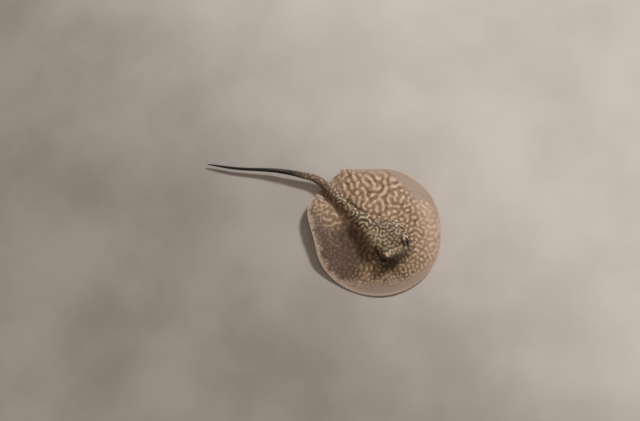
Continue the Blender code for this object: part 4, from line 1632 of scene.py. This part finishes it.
@dataclass(frozen=True)
class TailThorns:
    """The uneven row of thorns along the back of the tail."""

    tail: Tail
    start: float = 2.0
    end: float = 122.0
    count: int = 30
    jitter: float = 0.2
    sway: float = 0.16
    lean: float = 0.9
    seed: int = 12
    sunk: float = 0.35

    def build(self, finish: bpy.types.Material) -> bpy.types.Object:
        """Make the thorns."""
        rng = np.random.default_rng(self.seed)
        points, aims = [], []
        for k in range(self.count):
            place = k + rng.uniform(-self.jitter, self.jitter)
            run = self.start + (self.end - self.start) * place / self.count
            angle = math.pi / 2 + rng.uniform(-1.0, 1.0) * self.sway
            _, rise, ahead = self.tail.axes(run)
            points.append(tuple(self.tail.point(run, angle, -self.sunk)))
            aims.append(tuple((rise + ahead * self.lean).normalized()))
        cones = Spikes("tail_thorns", radius=0.85, height=2.3, sides=8, seed=self.seed,
                       spread=0.45)
        thorns = cones.stand(np.array(points), np.array(aims), finish)
        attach(thorns, BODY)
        return thorns


@dataclass(frozen=True)
class Denticles:
    """The small thorny scales scattered over the middle of the back."""

    skin: Skin
    count: int = 420
    seed: int = 33
    run: tuple[float, float] = (-38.0, 106.0)
    front_spread: float = 11.0
    rear_spread: float = 6.6
    narrow_from: float = 40.0
    widest: float = 1.6
    step: float = 0.4
    lean: float = 0.8
    sunk: float = 0.12

    def build(self, finish: bpy.types.Material) -> bpy.types.Object:
        """Make the denticles."""
        rng, top, step = np.random.default_rng(self.seed), self.skin.top, self.step
        y = rng.uniform(*self.run, self.count)
        spread = np.where(y > self.narrow_from, self.rear_spread, self.front_spread)
        across = rng.normal(0.0, 1.0, self.count).clip(-self.widest, self.widest)
        x = self.skin.disc.spine.at(y) + across * spread
        slope_x = (top(x + step, y) - top(x - step, y)) / (2 * step)
        slope_y = (top(x, y + step) - top(x, y - step)) / (2 * step)
        aims = np.stack([-slope_x, -slope_y + self.lean, np.ones_like(x)], -1)
        aims /= np.linalg.norm(aims, axis=1)[:, None]
        points = np.stack([x, y, top(x, y) - self.sunk], -1)
        cones = Spikes("back_denticles", radius=0.42, height=0.75, sides=5, seed=self.seed,
                       spread=0.5)
        scales = cones.stand(points, aims, finish)
        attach(scales, BODY)
        return scales


@dataclass(frozen=True)
class Sting:
    """The flat serrated sting that leaves the tail's back at a low angle."""

    tail: Tail
    start: float = 128.0
    end: float = 180.0
    half_width: float = 2.3
    half_height: float = 1.0
    root_width: float = 0.55
    clearance: float = 0.1
    end_rise: float = 2.0
    rib: float = 0.28
    flatness: float = 0.8
    sections: int = 60
    sides: int = 20
    barbs: int = 24
    barbs_from: float = 0.30
    barbs_span: float = 0.62
    barb_inset: float = 0.86
    barb_lean: float = 1.1

    def section(self, share: float) -> tuple[Vector, Vector, Vector, Vector, float, float]:
        """Find the blade's cross-section.

        Args:
            share: How far along the blade it is, from 0 to 1.

        Returns:
            Its middle, its three axes and its half sizes.
        """
        run = self.start + (self.end - self.start) * share
        side, rise, ahead = self.tail.axes(run)
        above = float(self.tail.section.at(run, 2))
        middle = self.tail.middle(run) + rise * (above + self.clearance + self.end_rise * share)
        taper = max(min(1.0, self.root_width + 2.0 * share) * (1.0 - share ** 2.2), 0.02)
        wide, tall = self.half_width * taper, self.half_height * max(taper, 0.05) ** 0.6
        return middle, side, rise, ahead, wide, tall

    def blade(self, finish: bpy.types.Material) -> bpy.types.Object:
        """Make the blade, with a raised rib along its back between two grooves."""
        shell, starts = Shell(), []
        for k in range(self.sections + 1):
            middle, side, rise, _, wide, tall = self.section(k / self.sections)
            ring = []
            for n in range(self.sides):
                angle = 2.0 * math.pi * n / self.sides
                rib = 1.0 + (self.rib * math.cos(2.0 * (angle - math.pi / 2)) ** 3
                             if math.sin(angle) > 0.0 else 0.0)
                ring.append(tuple(middle + side * wide * math.cos(angle)
                                  + rise * tall * rib * self.flatness * math.sin(angle)))
            starts.append(shell.add(np.array(ring)))
        for outer, inner in zip(starts, starts[1:]):
            shell.faces += ring_faces(outer, inner, self.sides)
        shell.faces += [tuple(range(end, end + self.sides)) for end in (starts[0], starts[-1])]
        blade = shell.mesh("sting_blade", finish)
        outward(blade)
        return blade

    def build(self, finish: bpy.types.Material) -> bpy.types.Object:
        """Make the blade and its barbs, which stand for the sting's solid."""
        points, aims = [], []
        for sign in (1, -1):
            for k in range(self.barbs):
                share = self.barbs_from + self.barbs_span * k / self.barbs
                middle, side, _, ahead, wide, _ = self.section(share)
                points.append(tuple(middle + side * sign * wide * self.barb_inset))
                aims.append(tuple((side * sign - ahead * self.barb_lean).normalized()))
        cones = Spikes("sting_barbs", radius=0.42, height=1.15, sides=5, seed=1, spread=0.15)
        barbs = cones.stand(np.array(points), np.array(aims), finish)
        blade = self.blade(finish)
        with bpy.context.temp_override(active_object=blade, object=blade,
                                       selected_objects=[blade, barbs],
                                       selected_editable_objects=[blade, barbs]):
            bpy.ops.object.join()
        blade.name = "serrated_sting"
        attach(blade, BODY)
        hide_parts("sting")
        return blade


# ---------------------------------------------------------------------- the studio

@dataclass(frozen=True)
class Studio:
    """The floor, the lights and the camera."""

    aim: tuple[float, float, float] = (-0.0636, 0.1182, 0.0)
    azimuth: float = -42.0
    elevation: float = 75.0
    distance: float = 2.0475
    lens: float = 50.0
    sensor: float = 36.0
    farthest: float = 60.0
    floor_half: float = 15.0
    floor_height: float = -0.15
    key_plan: tuple[float, float] = (0.97, 0.24)
    key_elevation: float = 36.0
    key_angle: float = 9.0
    key_power: float = 2.65
    key_colour: Colour = (0.97, 0.99, 1.0)
    fill_colour: Colour = (0.320, 0.268, 0.232)

    def floor(self) -> None:
        """Lay the floor just under the belly."""
        half, drop = self.floor_half / MM, self.floor_height
        shell = Shell()
        shell.add(np.array([(-half, -half, drop), (half, -half, drop), (half, half, drop),
                            (-half, half, drop)]))
        shell.faces.append((0, 1, 2, 3))
        floor = shell.mesh("floor", FloorFinish().make())

    def key(self) -> None:
        """Hang the soft key light at the animal's left."""
        data = bpy.data.lights.new("key", "SUN")
        data.angle, data.energy = math.radians(self.key_angle), self.key_power
        data.color = self.key_colour
        light = bpy.data.objects.new("key", data)
        bpy.context.scene.collection.objects.link(light)
        lift = math.radians(self.key_elevation)
        towards = Vector((*self.key_plan, 0.0)).normalized() * math.cos(lift)
        towards.z = math.sin(lift)
        light.location = towards
        light.rotation_euler = towards.to_track_quat("Z", "Y").to_euler()

    def fill(self) -> None:
        """Light the shadows evenly from all round."""
        world = bpy.data.worlds.new("studio")
        world.use_nodes = True
        sky = world.node_tree.nodes["Background"]
        sky.inputs["Color"].default_value = (*self.fill_colour, 1.0)
        bpy.context.scene.world = world

    def camera(self) -> None:
        """Set the camera up."""
        data = bpy.data.cameras.new("camera")
        data.lens, data.sensor_width, data.clip_end = self.lens, self.sensor, self.farthest
        camera = bpy.data.objects.new("camera", data)
        bpy.context.scene.collection.objects.link(camera)
        a, e = math.radians(self.azimuth), math.radians(self.elevation)
        back = Vector((math.sin(a) * math.cos(e), -math.cos(a) * math.cos(e), math.sin(e)))
        camera.location = Vector(self.aim) + back * self.distance
        camera.rotation_euler = back.to_track_quat("Z", "Y").to_euler()
        bpy.context.scene.camera = camera

    def build(self) -> None:
        """Set up the whole studio."""
        self.camera()
        self.floor()
        self.key()
        self.fill()
        bpy.context.scene.view_settings.view_transform = "Standard"


def main() -> None:
    """Build every piece and report it."""
    logging.basicConfig(level=logging.INFO, format="%(name)s: %(message)s")
    disc = Disc()
    tail = Tail(disc)
    eyes = [EyeSeat.from_frame(side) for side in Side]
    marks = Markings(disc)
    LOG.info("markings grown on %d by %d cells", marks.columns, marks.rows)
    skin = Skin(disc, tail, Underside(disc), eyes, [Spiracle(side) for side in Side], marks)
    horn = HornFinish("sting sheath", (0.105, 0.078, 0.050), (0.040, 0.030, 0.020)).make()
    thorn = HornFinish("thorn", (0.50, 0.42, 0.30), (0.30, 0.22, 0.14)).make()
    scale = HornFinish("denticle", (0.40, 0.31, 0.20), (0.20, 0.14, 0.09)).make()
    eye_finish = EyeFinish().make()
    pieces = [skin.build(SkinFinish().make())]
    pieces += [Eyeball(seat).build(eye_finish) for seat in eyes]
    pieces += [Sting(tail).build(horn), TailThorns(tail).build(thorn),
               Denticles(skin).build(scale)]
    for piece in pieces:
        count = sum(len(face.vertices) - 2 for face in piece.data.polygons)
        LOG.info("%s: %d triangles", piece.name, count)
    Studio().build()


if __name__ == "__main__":
    main()
